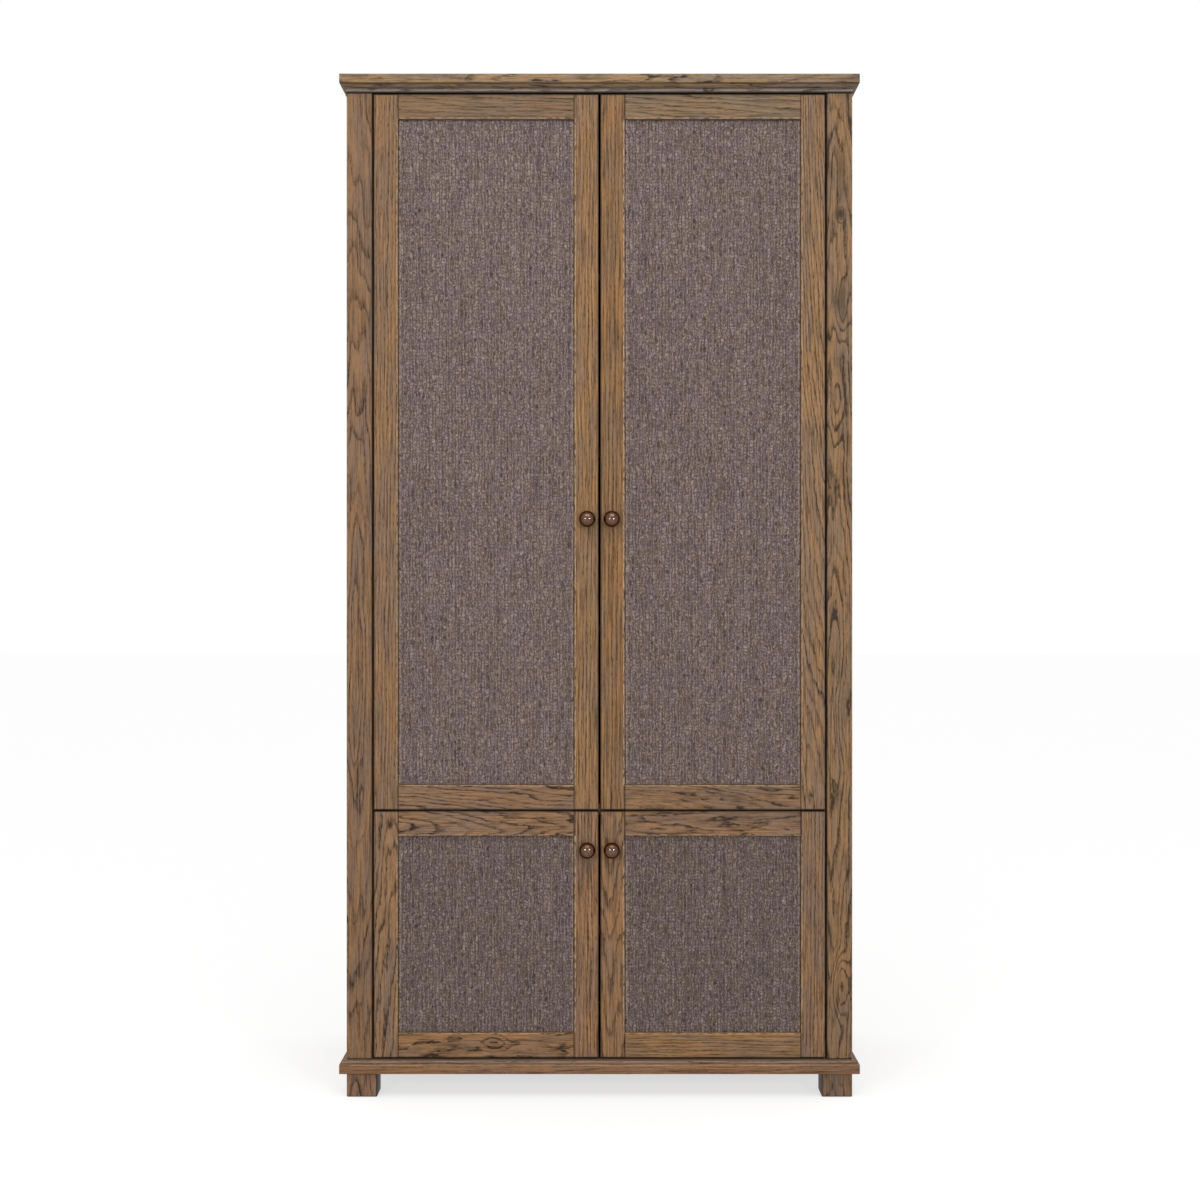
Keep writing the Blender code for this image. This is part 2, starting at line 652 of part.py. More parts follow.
def build_hinges(door, sign, axis, heights, cup_mesh, arm_mesh):
    """A door's hinges. A right-hand piece is the left-hand one turned half round about Y."""
    half_turn = math.pi if sign > 0 else 0.0
    cup_x = sign * (OPENING_HALF - SIDE_GAP - CUP_FROM_DOOR_EDGE)
    for number, height in enumerate(heights, start=1):
        cup = place(door + "_hinge_cup_" + str(number), cup_mesh, (cup_x, DOOR_BACK_Y, height), PARTS,
                    axis, (-math.pi / 2, half_turn, 0))
        finish_part(cup, NICKEL)
        arm = place(door + "_hinge_arm_" + str(number), arm_mesh, (sign * OPENING_HALF, ARM_NOSE_Y, height),
                    PARTS, rotation=(0, half_turn, 0))
        finish_part(arm, NICKEL)


def hinge_heights(bottom, top, count):
    """Evenly spaced hinge heights, the end ones a set distance from the door's ends."""
    low = bottom + HINGE_FROM_DOOR_END
    high = top - HINGE_FROM_DOOR_END
    return [low + (high - low) * i / (count - 1) for i in range(count)]


def build_doors():
    """The four doors with their hinges."""
    cup_mesh = hinge_cup_mesh()
    arm_mesh = hinge_arm_mesh()
    lower = (BASE_TOP + END_GAP, MEETING_HEIGHT - MEETING_GAP / 2)
    upper = (MEETING_HEIGHT + MEETING_GAP / 2, CORNICE_BOTTOM - END_GAP)
    tiers = (
        ("lower", lower, LOWER_DOOR_HINGES, lower[1] - LOWER_KNOB_BELOW_DOOR_TOP),
        ("upper", upper, UPPER_DOOR_HINGES, upper[0] + UPPER_KNOB_ABOVE_DOOR_BOTTOM),
    )
    for tier, (bottom, top), hinges, knob_height in tiers:
        heights = hinge_heights(bottom, top, hinges)
        for side, sign in SIDES:
            door = tier + "_" + side + "_door"
            axis = build_door(door, sign, bottom, top, heights, knob_height)
            build_hinges(door, sign, axis, heights, cup_mesh, arm_mesh)


clear_scene()
PARTS = new_collection("tall_cabinet")
TOOLS = new_collection("cutters")
build_base()
add_moulded_board("cornice_board", cornice_profile())
build_sides_and_posts()
build_back()
build_shelves()
build_doors()
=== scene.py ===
"""The looks of a tall cabinet: stained oak, linen-covered door panels, bronze knobs, steel hinges.

Metres, +Z up, the front faces -Y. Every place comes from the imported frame, and the sizes of a
new piece are fields of the class that makes it, or stand in its profile.
"""

from __future__ import annotations

import logging
import math
from dataclasses import dataclass
from enum import Enum
from functools import cached_property
from typing import Any, Callable, Iterable, Sequence

import bpy
from mathutils import Euler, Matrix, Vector

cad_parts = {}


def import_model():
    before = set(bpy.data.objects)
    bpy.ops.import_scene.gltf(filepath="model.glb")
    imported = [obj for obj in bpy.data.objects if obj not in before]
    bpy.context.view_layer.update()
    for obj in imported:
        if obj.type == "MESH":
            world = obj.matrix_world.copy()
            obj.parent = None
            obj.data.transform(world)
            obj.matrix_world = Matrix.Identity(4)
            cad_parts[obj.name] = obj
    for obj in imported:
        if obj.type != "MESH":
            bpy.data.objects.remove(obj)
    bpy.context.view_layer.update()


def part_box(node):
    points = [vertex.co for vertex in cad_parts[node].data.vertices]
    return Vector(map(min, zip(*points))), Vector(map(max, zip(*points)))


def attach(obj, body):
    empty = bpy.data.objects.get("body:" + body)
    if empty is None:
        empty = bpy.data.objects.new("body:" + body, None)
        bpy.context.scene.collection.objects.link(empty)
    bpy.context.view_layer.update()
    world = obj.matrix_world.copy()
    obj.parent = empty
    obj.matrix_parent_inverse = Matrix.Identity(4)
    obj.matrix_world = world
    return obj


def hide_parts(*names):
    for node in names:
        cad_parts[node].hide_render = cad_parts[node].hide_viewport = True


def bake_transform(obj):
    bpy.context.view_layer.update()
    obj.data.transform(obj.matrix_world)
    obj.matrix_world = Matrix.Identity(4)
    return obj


log = logging.getLogger("tall_cabinet")

Material = bpy.types.Material
Node = bpy.types.Node
Socket = bpy.types.NodeSocket
Piece = bpy.types.Object
Span = tuple[float, float]
Triple = tuple[float, float, float]
Inputs = Sequence[Any] | dict[str, Any]

MM = 0.001
PER_MM = 1000.0
SIDES = (("left", -1), ("right", 1))
SMOOTH = {"interpolation_type": "SMOOTHSTEP"}


def srgb(hex_colour: str) -> tuple[float, float, float, float]:
    """Turn an sRGB hex colour into linear values.

    Args:
        hex_colour: the colour as "#RRGGBB".

    Returns:
        Linear red, green, blue and alpha.
    """
    channels = [int(hex_colour[i:i + 2], 16) / 255 for i in (1, 3, 5)]
    linear = [c / 12.92 if c <= 0.04045 else ((c + 0.055) / 1.055) ** 2.4 for c in channels]
    return (linear[0], linear[1], linear[2], 1.0)


class Recipe:
    """The nodes of a material, or of the world, in the making."""

    def __init__(self, owner: Material | bpy.types.World) -> None:
        """Start from the nodes that the owner comes with.

        Args:
            owner: the new material or world.
        """
        owner.use_nodes = True
        self.owner = owner
        self.nodes = owner.node_tree.nodes

    def fill(self, node: Node, inputs: Inputs) -> None:
        """Set or link a node's inputs.

        Args:
            node: the node.
            inputs: a value, a node or a socket for each input, by name or in the order of those in use.
        """
        in_use = [socket for socket in node.inputs if socket.enabled]
        if isinstance(inputs, dict):
            pairs = [(next(s for s in in_use if s.name == name), value) for name, value in inputs.items()]
        else:
            pairs = [(in_use[number], value) for number, value in enumerate(inputs)]
        for socket, value in pairs:
            if isinstance(value, Node):
                value = next(s for s in value.outputs if s.enabled)
            if isinstance(value, Socket):
                self.owner.node_tree.links.new(value, socket)
            else:
                socket.default_value = value

    def add(self, kind: str, inputs: Inputs = (), **settings: Any) -> Node:
        """Add a shader node with its settings, values and links.

        Args:
            kind: the node's type name without its "ShaderNode" start.
            inputs: as for fill.
            settings: the node's own options.

        Returns:
            The new node.
        """
        node = self.nodes.new("ShaderNode" + kind)
        for name, value in settings.items():
            setattr(node, name, value)
        self.fill(node, inputs)
        return node

    def finish(self, inputs: dict[str, Any]) -> Material:
        """Set the Principled shader.

        Args:
            inputs: as for fill.

        Returns:
            The finished material.
        """
        self.fill(self.nodes["Principled BSDF"], inputs)
        return self.owner


@dataclass(frozen=True)
class Spots:
    """Noise stretched until its spots have a real size, in millimetres along X, Y and Z.

    The offset sets it apart from the piece's other noises.
    """

    size: Triple
    detail: float
    offset: Triple = (0, 0, 0)


class Canvas(Recipe):
    """A piece's material in the making, with places in millimetres from the piece's middle."""

    def __init__(self, name: str, low: Vector, high: Vector, turn: Euler = Euler(),
                 shift: Iterable[float] = (), roughness: float = 0.5) -> None:
        """Start the material and turn its coordinates.

        Args:
            name: the material's name.
            low: the piece's lowest corner.
            high: its highest corner.
            turn: the turn that brings its length to Z and its face to Y.
            shift: sets the piece's noises apart from other pieces'.
            roughness: how strong the finer layers of its noises are.
        """
        super().__init__(bpy.data.materials.new(name))
        middle = (low + high) / 2 * PER_MM
        middle.rotate(turn)
        half = (high - low) / 2 * PER_MM
        half.rotate(turn)
        self.half = Vector([abs(x) for x in half])
        self.shift = tuple(shift)
        self.roughness = roughness
        self.metres = self.add("TexCoord").outputs["Object"]
        self.place = self.add("Mapping", (self.metres, -middle, turn, (PER_MM, PER_MM, PER_MM)))

    @cached_property
    def axes(self) -> tuple[Socket, ...]:
        """The place's X, Y and Z: across the piece's face, into it and along it."""
        return tuple(self.add("SeparateXYZ", (self.place,)).outputs)

    def off(self, axis: int) -> Node:
        """How far a point is from the middle along one axis.

        Args:
            axis: the axis's number.

        Returns:
            The node with the distance.
        """
        return self.add("Math", (self.axes[axis],), operation="ABSOLUTE")

    def spots(self, spots: Spots, place: Node | None = None) -> Node:
        """Add stretched noise.

        Args:
            spots: the noise.
            place: the coordinates that it reads, or the piece's own.

        Returns:
            The noise node.
        """
        shift = [near + far for near, far in zip(self.shift, spots.offset)]
        spot = self.add("VectorMath", (place or self.place, [1 / s for s in spots.size], shift),
                        operation="MULTIPLY_ADD")
        return self.add("TexNoise", {"Vector": spot, "Scale": 1.0, "Detail": spots.detail,
                                     "Roughness": self.roughness})


class Run(Enum):
    """Which way a board's grain runs and its broad face looks, as the turn that brings them to Z and Y."""

    UPRIGHT_FACING_FRONT = (0, 0, 0)
    ACROSS_FACING_FRONT = (0, 90, 0)
    UPRIGHT_FACING_SIDE = (0, 0, 90)
    ACROSS_LYING_FLAT = (0, 90, 90)

    def turn(self) -> Euler:
        """The turn as a rotation."""
        return Euler([math.radians(a) for a in self.value])


@dataclass(frozen=True)
class Knot:
    """A knot that pushes the rings aside, in millimetres from the board's middle, with its dark heart."""

    across: float
    along: float
    width: float
    height: float
    push: float = 0.0
    core: float = 0.0


@dataclass(frozen=True)
class Sawing:
    """Where a board lay in its log, in millimetres.

    The heart lies aside of the board's middle and behind its face, and nears the face by slope
    for each millimetre along the board, which is what draws the pointed arches of oak. The
    rings are drawn about twice as far apart as in slow-grown oak, so that they show from a
    few steps away.
    """

    aside: float = 150.0
    behind: float = 60.0
    slope: float = 0.02
    ring: float = 6.5
    wander: float = 5.0
    knots: tuple[Knot, ...] = ()
    ripple: float = 0.7


@dataclass(frozen=True)
class PaintedLightBand:
    """A stretch across a moulded board with painted shade, highlight or reflection, in millimetres from the
    board's middle.
    """

    start: float
    end: float
    colour: str
    amount: float


@dataclass(frozen=True)
class Mark:
    """Wood darkened round a spot, in millimetres from the board's middle: dark stain in the figure, and
    painted shade round the knobs and under the cornice.

    Its reach is measured across the grain, and stretch says how much longer it is along it.
    """

    across: float
    along: float
    reach: float = 25.0
    amount: float = 0.5
    stretch: float = 1.0


@dataclass(frozen=True)
class Edging:
    """How a board's edges fare in its frame, in millimetres.

    One long edge, at side -1 or 1 across the board, is rubbed pale, and the other, towards a gap
    or the space under the cabinet, takes dirt and painted shade. Side 0 leaves both as they are.
    The rubbed edge stops short of the board's ends by what meets it there, and hidden is how much
    of each end is inside its neighbour. Stain gathers at the ends, but for free ends, where end grain shows.
    """

    side: int = 0
    stops_short: float = 0.0
    hidden: float = 0.0
    free_ends: bool = False


FIBRES = Spots((2.1, 2.1, 70), 3, (11, -11, 22))
PORES = Spots((2.0, 2.0, 11), 2, (23, -23, 46))
STRETCHES = Spots((16, 16, 130), 2, (37, -37, 74))
CLOUDS = Spots((11, 30, 48), 3, (53, -53, 106))
BENDS = Spots((40, 60, 260), 2, (3, -3, 6))
RIPPLES = Spots((8, 8, 27), 2, (7, -7, 14))


@dataclass(frozen=True)
class StainedOak:
    """Brushed European oak, stained brown-grey and waxed.

    Brushing hollows the soft early wood of each year ring, and the stain gathers there as fine
    dark lines. The hard late wood between keeps a warm tone, rubbed paler along the arrises.
    The fibres and pores are drawn about 2 mm wide, as coarse as they need to be to show. A post's
    sides were brushed less than its face, so side_ink lowers the stain's share there.

    Grey, warm and fibre are multipliers of the tone. Each "sets in" pair gives the levels of its
    noise between which a pattern grows from none to full. Sizes are in millimetres.
    """

    tone: str
    sawing: Sawing = Sawing()
    rings: float = 0.5
    streaks: float = 0.2
    grooves: float = 0.35
    patches: float = 1.0
    smoke: float = 0.0
    rubbed: float = 0.5
    # how much dirt and painted shade lie along the edge by a gap
    dirt_and_shade: float = 0.6
    seed: int = 1
    # bands of painted highlight, reflection and shade along a moulded edge
    painted_light_bands: tuple[PaintedLightBand, ...] = ()
    marks: tuple[Mark, ...] = ()
    grey: Triple = (0.89, 0.95, 1.02)
    warm: Triple = (1.11, 1.06, 0.86)
    fibre: Triple = (0.92, 1.04, 1.30)
    specks: float = 0.20
    side_ink: float = 1.0
    dark: str = "#2F2116"
    worn: str = "#C2A27A"
    joint: str = "#21160E"
    seed_steps: Triple = (13.7, 5.3, 9.1)
    warmth_sets_in: Span = (0.40, 0.60)
    fibre_sets_in: Span = (0.34, 0.66)
    pores_set_in: Span = (0.48, 0.62)
    clouds_set_in: Span = (0.50, 0.66)
    grooves_end: Span = (0.36, 0.46)
    rubbing_ends: Span = (0.44, 0.58)
    heart_sets_in: Span = (0.72, 0.95)
    early_wood: float = 0.42
    late_wood: float = 0.90
    least_growth: float = 0.40
    between_pores: float = 0.68
    in_pores: float = 0.45
    clouds_in_rings: float = 0.7
    face_depth: float = 5.0
    moulding: float = 24.0
    painted_light_blur: float = 0.4
    end_line: Span = (2.8, 0.8)
    end_ink: float = 0.85
    rubbed_line: Span = (3.4, 1.4)
    # where the dirt and painted shade lie, in from the edge by a gap
    dirt_and_shade_line: Span = (1.0, 3.4)
    sheen: Span = (0.50, 0.78)
    hollow_depth: float = 0.25 * MM

    def make(self, name: str, run: Run, low: Vector, high: Vector, edging: Edging = Edging()) -> Material:
        """Make the board's own material.

        Args:
            name: the board's name.
            run: which way its grain runs.
            low: its lowest corner.
            high: its highest corner.
            edging: how its edges fare.

        Returns:
            The material.
        """
        shift = [self.seed * step for step in self.seed_steps]
        board = Canvas("oak_" + name, low, high, run.turn(), shift, roughness=0.55)
        ring, core = self.ring_mask(board)
        streak, flare, patch, smoke = (board.spots(s) for s in (FIBRES, PORES, STRETCHES, CLOUDS))
        ground = self.tints(board, self.ground(board, streak, patch))
        front = -board.half.y
        strength = board.add("MapRange", (board.axes[1], front, self.face_depth + front, 1.0, self.side_ink))
        colour = self.ink(board, ground, ring, core, (streak, flare, smoke), strength)
        if not edging.free_ends:
            colour = self.ends(board, colour, board.half.z - edging.hidden)
        if edging.side:
            colour = self.edges(board, colour, flare, edging)
        hollow = board.add("Math", (ring, flare), operation="MULTIPLY")
        relief = board.add("Math", (hollow, -1.0, streak), operation="MULTIPLY_ADD")
        return board.finish({
            "Base Color": colour,
            "Roughness": board.add("MapRange", (hollow, 0.0, 1.0, *self.sheen)),
            "Normal": board.add("Bump", {"Height": relief, "Strength": 0.35, "Distance": self.hollow_depth}),
            "Specular IOR Level": 0.22,
        })

    def ring_mask(self, board: Canvas) -> tuple[Node, Any]:
        """The porous early wood of each year ring, from 0 in late wood to 1 at the ring's start.

        Args:
            board: the board's canvas.

        Returns:
            The node with the mask, and the darkness of the knots' hearts: a node, or 0.
        """
        sawing = self.sawing
        bend = board.spots(BENDS)
        taper = board.add("Math", (board.axes[2], sawing.slope, sawing.behind), operation="MULTIPLY_ADD")
        heart = board.add("CombineXYZ", (-sawing.aside, taper))
        across = board.add("VectorMath", (board.place, (1, 1, 0), heart), operation="MULTIPLY_ADD")
        swing = 2 * sawing.wander
        bent = board.add("VectorMath", (bend.outputs["Color"], (swing, 2 * swing, 0), across),
                         operation="MULTIPLY_ADD")
        radius = board.add("VectorMath", (bent,), operation="LENGTH")
        core: Any = 0.0
        for knot in sawing.knots:
            near = self.near_knot(board, knot)
            radius = board.add("Math", (near, knot.push, radius), operation="MULTIPLY_ADD")
            if knot.core:
                darkness = board.add("MapRange", (near, *self.heart_sets_in, 0.0, knot.core), **SMOOTH)
                core = board.add("Math", (core, darkness), operation="ADD")
        rippled = board.add("Math", (board.spots(RIPPLES), sawing.ripple * sawing.ring, radius),
                            operation="MULTIPLY_ADD")
        turns = board.add("Math", (rippled, 1 / sawing.ring), operation="MULTIPLY")
        share = board.add("Math", (turns,), operation="FRACT")
        falling = board.add("MapRange", (share, 0.0, self.early_wood, 1.0, 0.0), **SMOOTH)
        rising = board.add("MapRange", (share, self.late_wood, 1.0), **SMOOTH)
        line = board.add("Math", (falling, rising), operation="MAXIMUM")
        year = board.add("Math", (turns, 0.05), operation="ADD")
        count = board.add("Math", (year,), operation="FLOOR")
        chance = board.add("TexWhiteNoise", {"W": count}, noise_dimensions="1D")
        growth = board.add("MapRange", (chance, 0.0, 1.0, self.least_growth))
        return board.add("Math", (line, growth), operation="MULTIPLY"), core

    def near_knot(self, board: Canvas, knot: Knot) -> Node:
        """How near a point is to a knot, from 0 outside it to 1 at its heart.

        Args:
            board: the board's canvas.
            knot: the knot.

        Returns:
            The node with the nearness.
        """
        offset = board.add("VectorMath", (
            board.place,
            (1 / knot.width, 0, 1 / knot.height),
            (-knot.across / knot.width, 0, -knot.along / knot.height),
        ), operation="MULTIPLY_ADD")
        distance = board.add("VectorMath", (offset,), operation="LENGTH")
        return board.add("MapRange", (distance, 0.0, 1.0, 1.0, 0.0), **SMOOTH)

    def ground(self, board: Canvas, streak: Node, patch: Node) -> Node:
        """The late wood's colour: the tone, warmer and greyer by stretches, in long fibres.

        Args:
            board: the board's canvas.
            streak: long fibres along the grain.
            patch: broad warm and grey stretches.

        Returns:
            The node with the colour.
        """
        tone = srgb(self.tone)[:3]
        grey, warm = ([c * (1 + (t - 1) * self.patches) for c, t in zip(tone, tint)]
                      for tint in (self.grey, self.warm))
        toned = board.add("MapRange", (patch, *self.warmth_sets_in), **SMOOTH)
        drift = board.add("Mix", (toned, grey, warm), data_type="VECTOR")
        deep = [1 - self.streaks * c for c in self.fibre]
        pale = [1 + self.streaks * c for c in self.fibre]
        share = board.add("MapRange", (streak, *self.fibre_sets_in))
        fibres = board.add("Mix", (share, deep, pale), data_type="VECTOR")
        return board.add("VectorMath", (drift, fibres), operation="MULTIPLY")

    def ink(self, board: Canvas, ground: Node, ring: Node, core: Any, noises: Sequence[Node],
            strength: Node) -> Node:
        """Lay the dark stain into rings, pores, knots and clouds.

        Args:
            board: the board's canvas.
            ground: the late wood's colour.
            ring: the early wood.
            core: the darkness of the knots' hearts.
            noises: the long fibres, whose deepest hold stain too, the short pores, and the dark
                clouds in the figure.
            strength: how much stain this side of the board took.

        Returns:
            The node with the colour.
        """
        streak, flare, smoke = noises
        pores = board.add("MapRange", (flare, *self.pores_set_in), **SMOOTH)
        dashes = board.add("Math", (pores, self.in_pores, self.between_pores), operation="MULTIPLY_ADD")
        lines = board.add("Math", (ring, dashes), operation="MULTIPLY")
        inked = board.add("Math", (lines, self.rings, core), operation="MULTIPLY_ADD")
        cloud = board.add("MapRange", (smoke, *self.clouds_set_in, 0.0, self.smoke), **SMOOTH)
        clouded = board.add("Math", (ring, self.clouds_in_rings, 1 - self.clouds_in_rings),
                            operation="MULTIPLY_ADD")
        haze = board.add("Math", (cloud, clouded), operation="MULTIPLY")
        grooves = board.add("MapRange", (streak, *self.grooves_end, self.grooves, 0.0), **SMOOTH)
        hazy = board.add("Math", (haze, grooves), operation="ADD")
        specks = board.add("Math", (pores, self.specks, hazy), operation="MULTIPLY_ADD")
        stain = board.add("Math", (inked, specks), operation="ADD")
        amount = board.add("Math", (stain, strength), operation="MULTIPLY", use_clamp=True)
        return board.add("Mix", (amount, ground, srgb(self.dark)), data_type="RGBA")

    def tints(self, board: Canvas, colour: Node) -> Node:
        """Lay on the dark marks, some of them painted shade, over the bands of painted light and shade along
        a moulded edge.

        The grain's dark lines are laid on later, over both.

        Args:
            board: the board's canvas.
            colour: the colour so far.

        Returns:
            The node with the colour.
        """
        if self.painted_light_bands:
            colour = self.paint_moulding_light(board, colour)
        for mark in self.marks:
            around = Knot(mark.across, mark.along, mark.reach, mark.reach * mark.stretch)
            share = board.add("Math", (self.near_knot(board, around), mark.amount), operation="MULTIPLY")
            colour = board.add("Mix", (share, colour, srgb(self.dark)), data_type="RGBA")
        return colour

    def paint_moulding_light(self, board: Canvas, colour: Node) -> Node:
        """Paint the bands of light and shade, as deep into the board as its moulding goes.

        Args:
            board: the board's canvas.
            colour: the colour so far.

        Returns:
            The node with the colour.
        """
        inward = board.add("Math", (board.axes[1], board.half.y - self.moulding), operation="ADD")
        aside = board.add("Math", (board.half.z - self.moulding, board.off(2)), operation="SUBTRACT")
        inside = board.add("Math", (inward, aside), operation="MINIMUM")
        edge = board.add("MapRange", (inside, 0.0, 1.0, 1.0, 0.0))
        # each band paints light or shade onto the moulding
        for light_band in self.painted_light_bands:
            middle = (light_band.start + light_band.end) / 2
            reach = (light_band.end - light_band.start) / 2
            off = board.add("Math", (board.axes[0], middle), operation="SUBTRACT")
            away = board.add("Math", (off,), operation="ABSOLUTE")
            share = board.add("MapRange", (away, reach - self.painted_light_blur, reach + self.painted_light_blur,
                                           light_band.amount, 0.0))
            amount = board.add("Math", (share, edge), operation="MULTIPLY")
            colour = board.add("Mix", (amount, colour, srgb(light_band.colour)), data_type="RGBA")
        return colour

    def ends(self, board: Canvas, colour: Node, reach: float) -> Node:
        """Let stain gather at the board's ends, where it meets its neighbours.

        Args:
            board: the board's canvas.
            colour: the colour so far.
            reach: how far from its middle the board shows, in millimetres.

        Returns:
            The node with the colour.
        """
        start, end = (reach - line for line in self.end_line)
        share = board.add("MapRange", (board.off(2), start, end, 0.0, self.end_ink), **SMOOTH)
        return board.add("Mix", (share, colour, srgb(self.joint)), data_type="RGBA")

    def edges(self, board: Canvas, colour: Node, flare: Node, edging: Edging) -> Node:
        """Rub one long arris paler and paint dirt and shade along the other.

        Args:
            board: the board's canvas.
            colour: the colour so far.
            flare: short fine pores, which break the rubbed line up.
            edging: how the board's edges fare.

        Returns:
            The node with the colour.
        """
        half = board.half.x
        towards = board.add("Math", (board.axes[0], edging.side), operation="MULTIPLY")
        free = board.add("Math", (board.off(2), board.half.z - edging.stops_short), operation="LESS_THAN")
        start, end = (half - line for line in self.rubbed_line)
        rubbed = board.add("MapRange", (towards, start, end), **SMOOTH)
        broken = board.add("MapRange", (flare, *self.rubbing_ends, self.rubbed, 0.0))
        wear = board.add("Math", (rubbed, broken), operation="MULTIPLY")
        bare = board.add("Math", (wear, free), operation="MULTIPLY")
        pale = board.add("Mix", (bare, colour, srgb(self.worn)), data_type="RGBA")
        # dirt and painted shade along the other edge and the side face there, by a gap or under the cabinet
        start, end = (line - half for line in self.dirt_and_shade_line)
        dirt_and_shade = board.add("MapRange", (towards, start, end, self.dirt_and_shade, 0.0), **SMOOTH)
        return board.add("Mix", (dirt_and_shade, pale, srgb(self.joint)), data_type="RGBA")


@dataclass(frozen=True)
class SlubLinen:
    """A plain-woven linen cloth of uneven taupe yarns, light and dark slubs side by side.

    The yarns are about 1.2 mm apart in such a cloth. Thicker yarns wander upright through it,
    fainter ones run across, and slubs, the thick and thin places, break them into short strokes.
    All are drawn as coarse as they need to be to show from a step away. Sizes are in millimetres.
    """

    dark: str = "#302725"
    middle: str = "#60514C"
    light: str = "#9A8A84"
    brown: str = "#665747"
    mauve: str = "#5E5058"
    # the next two colours: painted shade in the seam where the cloth meets the groove, and a painted
    # highlight along its roll beside the stiles
    seam_shade: str = "#2C221D"
    edge_highlight: str = "#A89685"
    yarn: float = 1.25
    # painted shade: shifts the cloth's tones darker, for less light lower down
    painted_shade: float = 0.0
    sway: Spots = Spots((7, 7, 22), 1, (11, 5, 3))
    swing: Triple = (16, 0, 14)
    upright_slubs: Spots = Spots((1.7, 1.7, 8.0), 2)
    level_slubs: Spots = Spots((8.0, 8.0, 1.7), 2, (31, 7, 17))
    drops: Spots = Spots((2.6, 9.0, 90), 1, (5, 3, 71))
    hues: Spots = Spots((18, 18, 26), 1, (3, 47, 13))
    shares: Triple = (0.62, 0.22, 0.18)
    weave_share: float = 0.10
    weave_relief: float = 0.6
    shade: Span = (0.348, 0.752)
    hue_sets_in: Span = (0.35, 0.65)
    hue_share: float = 0.42
    thick_yarn: float = 0.052
    thick_yarn_gap: float = 6.4
    thick_yarn_breaks: float = 0.8
    thick_yarn_across: float = 0.4
    # where the painted highlight lies beside the stiles, and the painted seam shade all round
    highlight_line: float = 4.0
    highlight_blur: Span = (0.4, 1.8)
    highlight_share: float = 0.75
    slubs_set_in: Span = (0.35, 0.6)
    seam_shade_line: Span = (1.7, 0.3)
    seam_shade_share: float = 0.8

    def make(self, name: str, low: Vector, high: Vector) -> Material:
        """Make the cloth's material.

        Args:
            name: the panel's name.
            low: the lowest corner of the cloth that shows.
            high: its highest corner.

        Returns:
            The material.
        """
        shift = Vector((low.x * 97, 0, low.z * 61))
        cloth = Canvas("linen_" + name, low, high, shift=shift, roughness=0.6)
        swung = cloth.add("VectorMath", (cloth.spots(self.sway).outputs["Color"], self.swing, cloth.place),
                          operation="MULTIPLY_ADD")
        upright = cloth.spots(self.upright_slubs, swung)
        patterns = (upright, cloth.spots(self.level_slubs, swung), cloth.spots(self.drops))
        yarns = self.thick_yarns(cloth, swung)
        for pattern, share in zip(patterns, self.shares):
            yarns = cloth.add("Math", (pattern, share, yarns), operation="MULTIPLY_ADD")
        weave = self.weave(cloth)
        lifted = cloth.add("Math", (weave, self.weave_share, yarns), operation="MULTIPLY_ADD")
        shade = cloth.add("MapRange", (lifted, *(level + self.painted_shade for level in self.shade)))
        hue = cloth.add("MapRange", (cloth.spots(self.hues), *self.hue_sets_in), **SMOOTH)
        tinted = cloth.add("Mix", (hue, srgb(self.brown), srgb(self.mauve)), data_type="RGBA")
        ground = cloth.add("Mix", (self.hue_share, srgb(self.middle), tinted), data_type="RGBA")
        low_side = cloth.add("MapRange", (shade, 0.0, 0.5))
        high_side = cloth.add("MapRange", (shade, 0.5, 1.0))
        darker = cloth.add("Mix", (low_side, srgb(self.dark), ground), data_type="RGBA")
        lighter = cloth.add("Mix", (high_side, darker, srgb(self.light)), data_type="RGBA")
        relief = cloth.add("Math", (weave, self.weave_relief, yarns), operation="MULTIPLY_ADD")
        return cloth.finish({
            "Base Color": self.edge(cloth, lighter, upright),
            "Normal": cloth.add("Bump", {"Height": relief, "Strength": 0.5, "Distance": 0.4 * MM}),
            "Roughness": 0.92,
            "Specular IOR Level": 0.2,
            "Sheen Weight": 0.12,
            "Sheen Roughness": 0.5,
        })

    def waves(self, cloth: Canvas, place: Node, turn: float) -> list[Node]:
        """Waves across the cloth and along it.

        Args:
            cloth: the cloth's canvas.
            place: the coordinates that they read.
            turn: how far they turn in a millimetre, in radians.

        Returns:
            The nodes with the waves, from -1 to 1.
        """
        axes = cloth.add("SeparateXYZ", (place,)).outputs
        phases = [cloth.add("Math", (axes[axis], turn), operation="MULTIPLY") for axis in ("X", "Z")]
        return [cloth.add("Math", (phase,), operation="SINE") for phase in phases]

    def thick_yarns(self, cloth: Canvas, place: Node) -> Node:
        """The thicker yarns that wander upright through the cloth, and the fainter ones across.

        Args:
            cloth: the cloth's canvas.
            place: its coordinates, swaying from side to side.

        Returns:
            The node with how much lighter or darker they are.
        """
        wave, broken = self.waves(cloth, place, math.tau / self.thick_yarn_gap)
        breaks = self.thick_yarn * self.thick_yarn_breaks
        across = self.thick_yarn * self.thick_yarn_across
        strength = cloth.add("Math", (broken, breaks, self.thick_yarn), operation="MULTIPLY_ADD")
        upright = cloth.add("Math", (wave, strength), operation="MULTIPLY")
        return cloth.add("Math", (broken, across, upright), operation="MULTIPLY_ADD")

    def weave(self, cloth: Canvas) -> Node:
        """The height of crossing yarns that go over and under each other.

        Args:
            cloth: the cloth's canvas.

        Returns:
            The node with the height, from 0 to 1.
        """
        warp, weft = self.waves(cloth, cloth.place, math.pi / self.yarn)
        crossing = cloth.add("Math", (warp, weft), operation="MULTIPLY")
        return cloth.add("Math", (crossing, 0.5, 0.5), operation="MULTIPLY_ADD")

